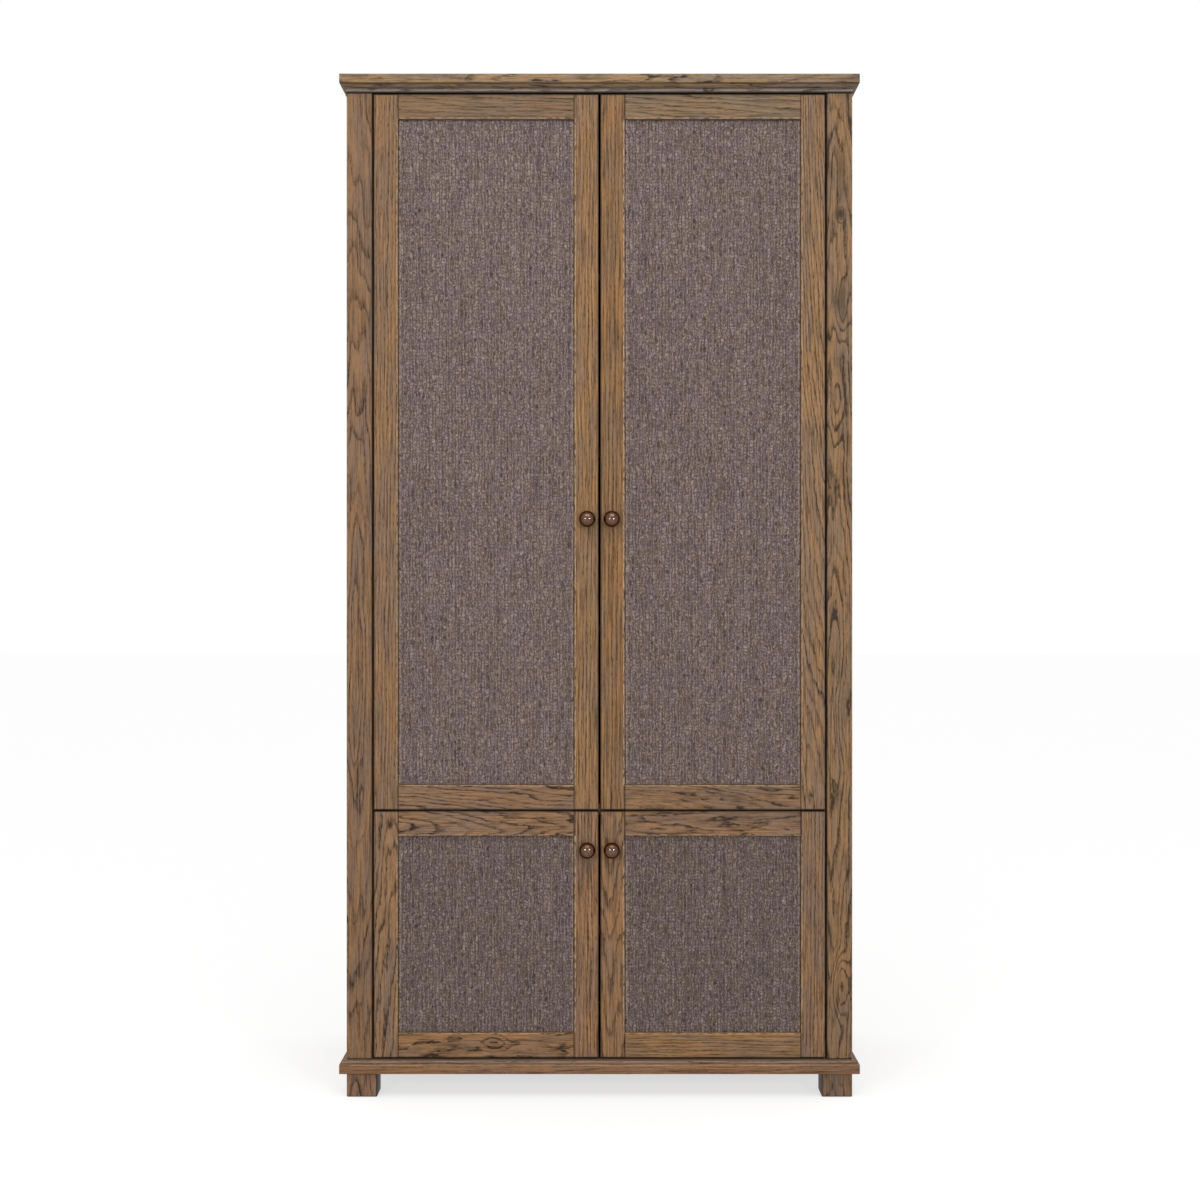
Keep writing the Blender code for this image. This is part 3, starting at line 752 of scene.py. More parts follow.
    def edge(self, cloth: Canvas, colour: Node, slubs: Node) -> Node:
        """Paint a highlight along the cloth's roll beside the stiles, and shade in the seam all round.

        Args:
            cloth: the cloth's canvas.
            colour: the colour so far.
            slubs: the upright slubs, which break the line up.

        Returns:
            The node with the colour.
        """
        half = cloth.half
        aside = cloth.off(0)
        off_line = cloth.add("Math", (aside, half.x - self.highlight_line), operation="SUBTRACT")
        gap = cloth.add("Math", (off_line,), operation="ABSOLUTE")
        line = cloth.add("MapRange", (gap, *self.highlight_blur, self.highlight_share, 0.0), **SMOOTH)
        broken = cloth.add("MapRange", (slubs, *self.slubs_set_in))
        amount = cloth.add("Math", (line, broken), operation="MULTIPLY")
        # painted highlight along the cloth's roll beside the stiles
        lit_edge = cloth.add("Mix", (amount, colour, srgb(self.edge_highlight)), data_type="RGBA")
        # painted shade in the seam all round
        for reach, away in ((half.x, aside), (half.z, cloth.off(2))):
            start, end = (reach - inset for inset in self.seam_shade_line)
            share = cloth.add("MapRange", (away, start, end, 0.0, self.seam_shade_share), **SMOOTH)
            lit_edge = cloth.add("Mix", (share, lit_edge, srgb(self.seam_shade)), data_type="RGBA")
        return lit_edge


@dataclass(frozen=True)
class AgedBronze:
    """Cast bronze, browned and waxed: polished to warm metal on the crown, with a painted dark reflection at
    the rim.

    Mottle is the size of the casting's spots, and crown and rim are how far from the knob's axis
    the painted dark reflection starts and reaches its full share, in millimetres.
    """

    brown: str = "#2C1A0B"
    rubbed: str = "#70492A"
    # the painted dark reflection at the rim, and how much of it
    dark_rim_reflection: str = "#5A351A"
    rim_reflection_share: float = 0.9
    mottle: float = 2.2
    mottle_sets_in: Span = (0.40, 0.64)
    roughness: Span = (0.23, 0.11)
    wax_roughness: float = 0.05
    crown: float = 3.5
    rim: float = 15.2

    def make(self, name: str, centre: Vector) -> Material:
        """Make one knob's material.

        Args:
            name: the knob's name.
            centre: a point on the knob's axis, which runs along Y.

        Returns:
            The material.
        """
        knob = Canvas("aged_bronze_" + name, centre, centre)
        spots = knob.add("TexNoise", {"Vector": knob.metres, "Scale": PER_MM / self.mottle, "Detail": 4.0})
        share = knob.add("MapRange", (spots, *self.mottle_sets_in), **SMOOTH)
        cast = knob.add("Mix", (share, srgb(self.brown), srgb(self.rubbed)), data_type="RGBA")
        flat = knob.add("VectorMath", (knob.place, (1, 0, 1)), operation="MULTIPLY")
        radius = knob.add("VectorMath", (flat,), operation="LENGTH")
        # painted dark reflection, growing from the crown out to the rim
        edge = knob.add("MapRange", (radius, self.crown, self.rim, 0.0, self.rim_reflection_share), **SMOOTH)
        return knob.finish({
            "Base Color": knob.add("Mix", (edge, cast, srgb(self.dark_rim_reflection)), data_type="RGBA"),
            "Metallic": 1.0,
            "Roughness": knob.add("MapRange", (spots, 0.0, 1.0, *self.roughness)),
            "Normal": knob.add("Bump", {"Height": spots, "Strength": 0.05, "Distance": 0.2 * MM}),
            "Coat Weight": knob.add("MapRange", (edge, 0.0, self.rim_reflection_share, 1.0, 0.0)),
            "Coat IOR": 1.6,
            "Coat Roughness": self.wax_roughness,
        })


@dataclass(frozen=True)
class NickelPlate:
    """Nickel plate on pressed steel: bright, with the faint drag lines of the press.

    Drag is the size of a line's spots along X, Y and Z, in millimetres.
    """

    colour: str = "#C4C0B8"
    drag: Triple = (4.0, 0.25, 4.0)
    roughness: Span = (0.18, 0.38)

    def make(self) -> Material:
        """Make the hinges' material.

        Returns:
            The material.
        """
        plate = Recipe(bpy.data.materials.new("nickel_plate"))
        spread = plate.add("VectorMath", (plate.add("TexCoord").outputs["Object"],
                                          [PER_MM / d for d in self.drag]), operation="MULTIPLY")
        lines = plate.add("TexNoise", {"Vector": spread, "Scale": 1.0, "Detail": 3.0})
        return plate.finish({
            "Base Color": srgb(self.colour),
            "Metallic": 1.0,
            "Roughness": plate.add("MapRange", (lines, 0.0, 1.0, *self.roughness)),
            "Normal": plate.add("Bump", {"Height": lines, "Strength": 0.06, "Distance": 0.1 * MM}),
        })


class Bits(Enum):
    """What a mesh is picked by, as the edit mode's own name for it."""

    POINTS = "VERT"
    EDGES = "EDGE"
    FACES = "FACE"


class Bench:
    """The modelling steps that are done by hand at the bench, as operators."""

    @staticmethod
    def clear() -> None:
        """Leave nothing selected and edit mode closed."""
        if bpy.context.object and bpy.context.object.mode != "OBJECT":
            bpy.ops.object.mode_set(mode="OBJECT")
        bpy.ops.object.select_all(action="DESELECT")

    @staticmethod
    def pick(thing: Piece) -> None:
        """Select one object alone and make it the active one.

        Args:
            thing: the object.
        """
        Bench.clear()
        thing.select_set(True)
        bpy.context.view_layer.objects.active = thing

    @staticmethod
    def settle(name: str) -> Piece:
        """Name the active object and put its place, turn and size into its mesh.

        Args:
            name: the piece's name.

        Returns:
            The object.
        """
        thing = bpy.context.object
        thing.name = name
        thing.data.name = name
        bpy.ops.object.transform_apply(location=True, rotation=True, scale=True)
        return thing

    @staticmethod
    def block(name: str, low: Vector, high: Vector) -> Piece:
        """Add a block between two corners.

        Args:
            name: the piece's name.
            low: its lowest corner.
            high: its highest corner.

        Returns:
            The block.
        """
        Bench.clear()
        bpy.ops.mesh.primitive_cube_add(size=1, location=(low + high) / 2)
        bpy.context.object.scale = high - low
        return Bench.settle(name)

    @staticmethod
    def draw(name: str, points: Sequence[Vector]) -> Piece:
        """Draw a line from point to point.

        Args:
            name: the piece's name.
            points: the points in order.

        Returns:
            The line, in edit mode with all of it selected.
        """
        Bench.clear()
        bpy.ops.mesh.primitive_plane_add(size=MM, location=points[0])
        thing = Bench.settle(name)
        bpy.ops.object.mode_set(mode="EDIT")
        bpy.ops.mesh.select_mode(type="VERT")
        bpy.ops.mesh.select_all(action="SELECT")
        bpy.ops.mesh.merge(type="CENTER")
        for here, there in zip(points, points[1:]):
            bpy.ops.mesh.extrude_vertices_move(TRANSFORM_OT_translate={"value": there - here})
        bpy.ops.mesh.select_all(action="SELECT")
        return thing

    @staticmethod
    def turn_outwards() -> None:
        """Make all the edited mesh's faces point outwards and leave edit mode."""
        bpy.ops.mesh.select_all(action="SELECT")
        bpy.ops.mesh.normals_make_consistent(inside=False)
        bpy.ops.object.mode_set(mode="OBJECT")

    @staticmethod
    def turned(name: str, profile: Sequence[Span], centre: Vector, axis: Vector, steps: int) -> Piece:
        """Draw a profile and spin it into a closed turned piece.

        Args:
            name: the piece's name.
            profile: points as (radius, height along the axis), starting and ending on the axis.
            centre: the point on the axis that height is measured from.
            axis: the direction that height is measured in, along Y.
            steps: how many steps the spin takes.

        Returns:
            The turned piece.
        """
        thing = Bench.draw(name, [centre + Vector((1, 0, 0)) * r + axis * h for r, h in profile])
        bpy.ops.mesh.spin(steps=steps, angle=math.tau, center=centre, axis=axis)
        bpy.ops.mesh.select_all(action="SELECT")
        bpy.ops.mesh.remove_doubles(threshold=0.02 * MM)
        Bench.turn_outwards()
        return thing

    @staticmethod
    def cut_out(name: str, outline: Sequence[Vector], depth: Vector) -> Piece:
        """Draw a closed outline and extrude it into a plate.

        Args:
            name: the piece's name.
            outline: the outline's corners in order, all in one plane.
            depth: how far it is extruded, and which way.

        Returns:
            The plate.
        """
        thing = Bench.draw(name, [*outline, outline[0]])
        bpy.ops.mesh.remove_doubles(threshold=0.01 * MM)
        bpy.ops.mesh.select_all(action="SELECT")
        bpy.ops.mesh.edge_face_add()
        bpy.ops.mesh.extrude_region_move(TRANSFORM_OT_translate={"value": depth})
        Bench.turn_outwards()
        return thing

    @staticmethod
    def select(thing: Piece, bits: Bits, wanted: Callable[..., bool]) -> None:
        """Select the bits of a mesh that a test picks, and go to edit mode.

        Args:
            thing: the piece.
            bits: points, edges or faces.
            wanted: a test of a point's place, of an edge's two end points, or of a face's centre
                and normal.
        """
        Bench.pick(thing)
        bpy.ops.object.mode_set(mode="EDIT")
        bpy.ops.mesh.select_mode(type=bits.value)
        bpy.ops.mesh.select_all(action="DESELECT")
        bpy.ops.object.mode_set(mode="OBJECT")
        mesh = thing.data
        if bits is Bits.FACES:
            for face in mesh.polygons:
                face.select = wanted(face.center, face.normal)
        elif bits is Bits.EDGES:
            for edge in mesh.edges:
                edge.select = wanted(*(mesh.vertices[i].co for i in edge.vertices))
        else:
            for vert in mesh.vertices:
                vert.select = wanted(vert.co)
        bpy.ops.object.mode_set(mode="EDIT")

    @staticmethod
    def bevel_edges(thing: Piece, wanted: Callable[..., bool], width: float, segments: int) -> None:
        """Bevel the edges that a test picks.

        Args:
            thing: the piece.
            wanted: a test of an edge's two end points.
            width: how wide the bevel is.
            segments: how many facets it has.
        """
        Bench.select(thing, Bits.EDGES, wanted)
        bpy.ops.mesh.bevel(offset=width, segments=segments, affect="EDGES")
        bpy.ops.object.mode_set(mode="OBJECT")

    @staticmethod
    def apply(thing: Piece, kind: str, **settings: Any) -> None:
        """Put a modifier on a piece and apply it.

        Args:
            thing: the piece.
            kind: the modifier's type.
            settings: the modifier's own options.
        """
        Bench.pick(thing)
        modifier = thing.modifiers.new(kind.lower(), kind)
        for name, value in settings.items():
            setattr(modifier, name, value)
        bpy.ops.object.modifier_apply(modifier=modifier.name)

    @staticmethod
    def round_edges(thing: Piece, width: float, degrees: float = 30.0) -> None:
        """Round a piece's sharp edges with a bevel of two facets.

        Args:
            thing: the piece.
            width: how wide the bevel is.
            degrees: edges that bend less than this stay.
        """
        Bench.apply(thing, "BEVEL", width=width, segments=2, limit_method="ANGLE",
                    angle_limit=math.radians(degrees))

    @staticmethod
    def carve(thing: Piece, tool: Piece) -> None:
        """Cut a piece by a tool and put the tool away.

        Args:
            thing: the piece.
            tool: the tool object, which is removed.
        """
        Bench.apply(thing, "BOOLEAN", operation="DIFFERENCE", solver="EXACT", object=tool)
        Bench.put_away(tool)

    @staticmethod
    def smooth(thing: Piece, degrees: float = 35.0) -> None:
        """Shade a piece smooth, apart from its sharp edges."""
        Bench.pick(thing)
        bpy.ops.object.shade_smooth_by_angle(angle=math.radians(degrees))

    @staticmethod
    def copy_of(thing: Piece, name: str, place: Vector, turn: Triple = (0, 0, 0)) -> Piece:
        """Copy a piece that was modelled at the origin, with its own mesh.

        Args:
            thing: the piece to copy.
            name: the copy's name.
            place: where its origin goes.
            turn: its turn about each axis in degrees.

        Returns:
            The copy, with its place in its mesh.
        """
        Bench.pick(thing)
        bpy.ops.object.duplicate(linked=False)
        made = bpy.context.object
        made.location = place
        made.rotation_euler = [math.radians(a) for a in turn]
        return Bench.settle(name)

    @staticmethod
    def join(thing: Piece, *others: Piece) -> Piece:
        """Join other pieces into the first one's mesh.

        Args:
            thing: the first piece.
            others: the pieces that it takes in.

        Returns:
            The first piece.
        """
        Bench.clear()
        for other in (*others, thing):
            other.select_set(True)
        bpy.context.view_layer.objects.active = thing
        bpy.ops.object.join()
        return thing

    @staticmethod
    def put_away(*things: Piece) -> None:
        """Remove tools and patterns that have done their work."""
        for thing in things:
            bpy.data.objects.remove(thing, do_unlink=True)


def dress(thing: Piece, material: Material) -> None:
    """Give a piece or a CAD node its one material.

    Args:
        thing: the piece.
        material: its material.
    """
    thing.data.materials.clear()
    thing.data.materials.append(material)


def seat(thing: Piece, body: str, nodes: Iterable[str] = ()) -> None:
    """Fix a new piece to its CAD body and hide the nodes that it stands for.

    Args:
        thing: the piece.
        body: the CAD body that it rides on.
        nodes: the CAD nodes that it replaces.
    """
    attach(thing, body)
    if nodes:
        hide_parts(*nodes)
    log.info("%s rides on %s", thing.name, body)


def arc(centre: Span, radii: Span, start: float, end: float, steps: int) -> list[Span]:
    """Points on an ellipse arc.

    Args:
        centre: the ellipse's centre.
        radii: its two radii.
        start: the first angle in degrees.
        end: the last angle in degrees.
        steps: how many steps lie between.

    Returns:
        The points, from the first angle to the last.
    """
    turns = [math.radians(start + (end - start) * i / steps) for i in range(steps + 1)]
    return [(centre[0] + radii[0] * math.cos(a), centre[1] + radii[1] * math.sin(a)) for a in turns]


@dataclass
class MouldedBoard:
    """A board whose front and side edges follow a profile, flat behind.

    The profile is (how far in from the node's outline, how far down from its top).
    """

    name: str
    finish: StainedOak
    profile: list[Span]
    arris: float = 0.4 * MM

    def build(self) -> None:
        """Extrude the board down from its top face, ring by ring, and dress it."""
        low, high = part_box(self.name)
        inset, depth = self.profile[0]
        top = high.z - depth
        thing = Bench.block(self.name + "_board", Vector((low.x + inset, low.y + inset, top - MM)),
                            Vector((high.x - inset, high.y, top)))
        width = high.x - low.x
        deep = high.y - low.y
        back = ((low.x + high.x) / 2, high.y, 0)
        Bench.select(thing, Bits.FACES, lambda centre, normal: normal.z < -0.9)
        rings = [(inset, depth + MM), *self.profile[1:]]
        for number, (here, there) in enumerate(zip(rings, rings[1:])):
            step = Vector((0, 0, here[1] - there[1]))
            if number:
                bpy.ops.mesh.extrude_region_move(TRANSFORM_OT_translate={"value": step})
            else:
                bpy.ops.transform.translate(value=step)
            across = (width - 2 * there[0]) / (width - 2 * here[0])
            inward = (deep - there[0]) / (deep - here[0])
            bpy.ops.transform.resize(value=(across, inward, 1), center_override=back)
        bpy.ops.object.mode_set(mode="OBJECT")
        Bench.round_edges(thing, self.arris, 50)
        Bench.smooth(thing)
        dress(thing, self.finish.make(self.name, Run.ACROSS_FACING_FRONT, low, high,
                                      Edging(free_ends=True)))
        seat(thing, "carcass", [self.name])


def cornice_profile() -> list[Span]:
    """The cornice's edge: fascia, quirk, quarter round and fillet.

    Returns:
        Points as (how far in, how far down), in metres.
    """
    fascia, quirk_in, quirk, fillet_in, ovolo, lap, lean = 17.5, 2.5, 1.5, 11.4, 7.2, 1.0, 0.2
    bottom = 34.0
    curve = arc((fillet_in, fascia + quirk), (quirk_in - fillet_in + lap, ovolo), 0, 90, 10)
    points = [(0, 0), (0, fascia), (quirk_in, fascia + lean), (quirk_in, fascia + quirk), *curve,
              (fillet_in, bottom)]
    return [(x * MM, y * MM) for x, y in points]


def base_profile() -> list[Span]:
    """The base board's edge: bead, fillet, quirk, rounded nose and fascia.

    Returns:
        Points as (how far in, how far down), in metres.
    """
    bead_in, bead, fillet, quirk_in, quirk, lean, nose = 3.0, 4.0, 2.0, 4.0, 1.0, 0.1, 1.0
    bottom = 26.0
    curve = arc((bead_in + bead, bead), (-bead, -bead), 90, 0, 8)
    below = bead + fillet
    rounding = arc((nose, below + quirk + nose), (-nose, -nose), 90, 0, 4)
    points = [*curve, (bead_in, below), (quirk_in, below + lean), (quirk_in, below + quirk), *rounding,
              (0, bottom)]
    return [(x * MM, y * MM) for x, y in points]


@dataclass
class Foot:
    """A square block foot with rounded corners, worn round underneath, with painted shade on its inner side.
    """

    name: str
    finish: StainedOak
    corner: float = 2.2 * MM
    foot_edge: float = 2.8 * MM
    clearance: float = 0.2 * MM

    def build(self) -> None:
        """Block out the foot, round it and dress it."""
        low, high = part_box(self.name)
        high.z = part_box("base_board")[0].z - self.clearance
        thing = Bench.block(self.name + "_block", low, high)
        Bench.bevel_edges(thing, lambda a, b: abs(a.z - b.z) > MM, self.corner, 4)
        floor = low.z + 0.1 * MM
        Bench.bevel_edges(thing, lambda a, b: max(a.z, b.z) < floor, self.foot_edge, 4)
        Bench.smooth(thing)
        # the outer side is rubbed pale, and the inner side gets painted shade from under the cabinet
        outward = Edging(1 if low.x > 0 else -1)
        dress(thing, self.finish.make(self.name, Run.UPRIGHT_FACING_FRONT, low, high, outward))
        seat(thing, "carcass", [self.name])


def dress_node(name: str, run: Run, finish: StainedOak, edging: Edging = Edging()) -> None:
    """Give a CAD board its own oak.

    Args:
        name: the node.
        run: which way its grain runs.
        finish: the board's oak.
        edging: how the board's edges fare.
    """
    dress(bpy.data.objects[name], finish.make(name, run, *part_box(name), edging))
    log.info("%s keeps its CAD shape", name)


@dataclass
class PanelCloth:
    """A door's panel: a thin board with linen stretched over its face and tucked into the grooves."""

    door: str
    linen: SlubLinen
    board: StainedOak
    thickness: float = 0.8 * MM
    pulled_down: float = 0.7 * MM
    roll: float = 2.6 * MM
    cell: float = 4.2 * MM
    unevenness: float = 0.25 * MM
    lump: float = 7.0 * MM
    board_arris: float = 0.3 * MM

    def build(self, opening_low: Vector, opening_high: Vector) -> None:
        """Make the board and its cloth.

        Args:
            opening_low: the lowest corner of the opening in the door's frame.
            opening_high: its highest corner.
        """
        node = self.door + "_fabric_panel"
        low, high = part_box(node)
        front = Vector((low.x, low.y + self.pulled_down + self.thickness, low.z))
        board = Bench.block(self.door + "_panel_board", front, high)
        Bench.round_edges(board, self.board_arris)
        dress(board, self.board.make(node + "_board", Run.UPRIGHT_FACING_FRONT, low, high))
        seat(board, self.door)
        cloth = self.stretch(low, high, opening_low, opening_high)
        dress(cloth, self.linen.make(self.door, opening_low, opening_high))
        seat(cloth, self.door, [node])

    def stretch(self, low: Vector, high: Vector, opening_low: Vector, opening_high: Vector) -> Piece:
        """Model the cloth: flat in the grooves, rolling up out of them, its yarns a little uneven.

        Args:
            low: the panel's lowest corner.
            high: its highest corner.
            opening_low: the lowest corner of the opening.
            opening_high: its highest corner.

        Returns:
            The cloth.
        """
        Bench.clear()
        size = high - low
        middle = Vector(((low.x + high.x) / 2, low.y + self.pulled_down, (low.z + high.z) / 2))
        bpy.ops.mesh.primitive_grid_add(x_subdivisions=round(size.x / self.cell),
                                        y_subdivisions=round(size.z / self.cell), size=1,
                                        location=middle, rotation=(math.pi / 2, 0, 0))
        bpy.context.object.scale = (size.x, size.z, 1)
        cloth = Bench.settle(self.door + "_panel_cloth")
        self.lift(cloth, opening_low, opening_high)
        lumps = bpy.data.textures.new(self.door + "_lumps", "CLOUDS")
        lumps.noise_scale = self.lump
        Bench.apply(cloth, "DISPLACE", texture=lumps, texture_coords="LOCAL", strength=self.unevenness,
                    mid_level=0.5)
        Bench.apply(cloth, "SOLIDIFY", thickness=self.thickness, offset=-1)
        Bench.smooth(cloth, 60)
        return cloth

    def lift(self, cloth: Piece, opening_low: Vector, opening_high: Vector) -> None:
        """Raise the cloth inside the opening to its board's face.

        Args:
            cloth: the flat cloth.
            opening_low: the lowest corner of the opening.
            opening_high: its highest corner.
        """
        def inside(place: Vector) -> bool:
            """Whether a point is in the opening, past the roll at its edge."""
            gaps = (place.x - opening_low.x, opening_high.x - place.x,
                    place.z - opening_low.z, opening_high.z - place.z)
            return min(gaps) > self.roll

        Bench.select(cloth, Bits.POINTS, inside)
        bpy.ops.transform.translate(value=(0, -self.pulled_down, 0))
        bpy.ops.object.mode_set(mode="OBJECT")


@dataclass
class BallKnob:
    """A ball knob on a waisted neck and a round rose, all cast and turned in one, in millimetres."""

    door: str
    head_radius: float = 16.0
    head_depth: float = 26.0
    head_ends: float = -58.0
    projection: float = 33.0
    shoulder: float = 0.6
    neck_radius: float = 5.6
    neck_round: float = 1.6
    neck_flare: float = 2.4
    rose_radius: float = 9.8
    rose_round: float = 0.9
    rose_lift: float = 0.1
    rose: float = 2.6
    spigot_radius: float = 4.0
    spigot: float = 8.0
    steps: int = 64

    def profile(self) -> list[Span]:
        """The knob's outline from its tip to the end of its spigot.

        Returns:
            Points as (radius, height), in metres.
        """
        depth = self.head_depth / 2
        head = arc((0, self.projection - depth), (self.head_radius, depth), 90, self.head_ends, 22)
        head[0] = (0, self.projection)
        neck, bend, flare, edge = self.neck_radius, self.neck_round, self.neck_flare, self.rose_round
        waist = arc((neck + bend, head[-1][1] - self.shoulder - bend), (-bend, bend), 70, 0, 4)
        foot = arc((neck + flare, self.rose + flare), (-flare, -flare), 0, 80, 5)
        rim = arc((self.rose_radius - edge, self.rose - edge), (edge, edge), 90, 0, 5)
        points = [*head, *waist, *foot, *rim, (self.rose_radius, self.rose_lift),
                  (self.spigot_radius, self.rose_lift), (self.spigot_radius, -self.spigot),
                  (0, -self.spigot)]
        return [(r * MM, h * MM) for r, h in points]

    def build(self, bronze: AgedBronze) -> None:
        """Turn the knob and screw it to its door.

        Args:
            bronze: the knobs' bronze.
        """
        node = self.door + "_knob"
        low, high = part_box(node)
        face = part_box(self.door + "_inner_stile")[0].y
        centre = Vector(((low.x + high.x) / 2, face, (low.z + high.z) / 2))
        knob = Bench.turned(self.door + "_ball_knob", self.profile(), centre, Vector((0, -1, 0)),
                            self.steps)
        Bench.smooth(knob, 40)
        dress(knob, bronze.make(self.door, centre))
        seat(knob, self.door, [node])


@dataclass(frozen=True)
class Bar:
    """A bar of the folded link: from near to far off the post, from back to front, and half its width."""

    near: float
    far: float
    back: float
    front: float
    half: float


@dataclass
class ConcealedHinges:
    """Concealed cup hinges: each cup is let into a stile, and each arm is screwed to a post.

    Sizes are in millimetres. The patterns are left-hand pieces modelled at the origin, and a
    right-hand piece is a copy turned half round. The folded link lies in the arm's nose.
    """

    cup_radius: float = 17.5
    cup_depth: float = 12.0
    wall: float = 1.2
    lip: float = 2.0
    lip_round: float = 0.7
    floor_round: float = 1.4
    bottom_round: float = 1.0
    seat_gap: float = 0.3
    flange: float = 1.5
    overlap: float = 0.05
    wing_sunk: float = 0.1
    pressed_edge: float = 0.35
    wing_half: float = 29.0
    wing_offset: float = 9.5
    wing_width: float = 11.0
    wing_corner: float = 4.0
    arm_length: float = 48.0
    arm_width: float = 13.0
    arm_height: float = 14.5
    arm_edge: float = 0.6
    back_height: float = 9.0
    neck_height: float = 6.0
    crank: float = 14.5
    nose_thickness: float = 7.0
    nose_reach: float = 30.3
    nose_depth: float = 24.4
    floor_depth: float = 11.5
    axis_offset: float = 1.5
    swing: float = 25.66
    plate_half: float = 27.0
    plate_width: float = 12.0
    plate_back: float = 36.0
    plate_thickness: float = 2.0
    plate_corner: float = 4.5
    slot_depth: float = 3.0
    slot_start: float = 23.5
    slot_end: float = 39.5
    slot_half: float = 4.2
    slot_screws: Span = (27.6, 35.6)
    screw_radius: float = 3.6
    screw_sunk: float = 0.1
    screw_turn: float = 17.0
    screw_turns: tuple[float, ...] = (20.0, 51.0, 82.0, 113.0)
    screw_inset: float = 6.0
    wing_screw_inset: float = 5.6
    recess: Span = (4.2, 0.9)
    recess_floor: float = -0.1
    cutter_height: float = 2.0
    bars: tuple[Bar, ...] = (Bar(26.5, 28.5, -3.0, -13.0, 4.8), Bar(23.9, 25.3, -4.6, -12.6, 2.4))
    bar_foot: Bar = Bar(23.4, 29.4, -12.2, -13.15, 5.6)
    bar_edge: float = 0.4
    bar_foot_edge: float = 0.3
    bend_start: float = 4.9
    bend_end: float = 11.4
    steps: int = 56

    def build(self, doors: Sequence[str], nickel: Material) -> None:
        """Model the patterns, copy them to every hinge and put the patterns away.

        Args:
            doors: the doors' names.
            nickel: the hinges' plating.
        """
        screw = self.screw()
        cup = self.cup(screw)
        arm = self.arm(screw)
        link = self.link()
        for piece in (cup, arm, link):
            dress(piece, nickel)
        for door in doors:
            number = 1
            while f"{door}_hinge_cup_{number}" in bpy.data.objects:
                self.fit(door, number, cup, arm, link)
                number += 1
        Bench.put_away(screw, cup, arm, link)

    def screw(self) -> Piece:
        """Turn a countersunk screw's head and cut its cross recess.

        Returns:
            The head, facing +Y.
        """
        r = self.screw_radius
        profile = [(0, 0.7), (0.5 * r, 0.62), (0.86 * r, 0.36), (r, 0), (0.92 * r, -0.5), (0.45 * r, -1.6),
                   (0, -1.6)]
        head = Bench.turned("screw", [(x * MM, h * MM) for x, h in profile], Vector(),
                            Vector((0, 1, 0)), self.steps // 2)
        for length, width in (self.recess, self.recess[::-1]):
            low = Vector((-length / 2, self.recess_floor, -width / 2)) * MM
            high = Vector((length / 2, self.recess_floor + self.cutter_height, width / 2)) * MM
            Bench.carve(head, Bench.block("driver", low, high))
        Bench.smooth(head, 30)
        return head

    def cup(self, screw: Piece) -> Piece:
        """Turn the cup with its rolled lips, cut its two wings and put in their screws.

        Args:
            screw: the screw's pattern.

        Returns:
            The cup, its axis on the origin and its mouth facing +Y.
        """
        top = self.seat_gap + self.flange
        inner = self.cup_radius - self.wall
        outer = self.cup_radius + self.lip
        floor = self.wall - self.cup_depth
        lip, hollow, bottom = self.lip_round, self.floor_round, self.bottom_round
        profile = [(0, -self.cup_depth),
                   *arc((self.cup_radius - bottom, bottom - self.cup_depth), (bottom, bottom), -90, 0, 4),
                   (self.cup_radius, self.seat_gap), (outer, self.seat_gap),
                   *arc((outer - lip, top - lip), (lip, lip), 0, 90, 4),
                   *arc((inner + lip, top - lip), (lip, lip), 90, 180, 4),
                   *arc((inner - hollow, floor + hollow), (hollow, hollow), 0, -90, 4), (0, floor)]
        cup = Bench.turned("cup", [(r * MM, h * MM) for r, h in profile], Vector(), Vector((0, 1, 0)),
                           self.steps)
        near = self.wing_offset - self.wing_width / 2
        far = self.wing_offset + self.wing_width / 2
        ring = (inner + outer) / 2
        corner = self.wing_corner
        turns = [math.degrees(math.acos(x / ring)) for x in (far, near)]
        pieces = []
        for up in (1, -1):
            flat = [*arc((0, 0), (ring, ring), turns[0], turns[1], 5),
                    *arc((near + corner, self.wing_half - corner), (corner, corner), 180, 90, 5),
                    *arc((far - corner, self.wing_half - corner), (corner, corner), 90, 0, 5)]
            outline = [Vector((x, self.seat_gap + self.overlap, up * z)) * MM for x, z in flat]
            thickness = self.flange - self.overlap - self.wing_sunk
            wing = Bench.cut_out("wing", outline, Vector((0, thickness * MM, 0)))
            Bench.round_edges(wing, self.pressed_edge * MM)
            height = up * (self.wing_half - self.wing_screw_inset)
            place = Vector((self.wing_offset, top - self.screw_sunk, height)) * MM
            pieces += [wing, Bench.copy_of(screw, "wing_screw", place, (0, up * self.screw_turn, 0))]
        Bench.join(cup, *pieces)
        Bench.smooth(cup, 32)
        return cup

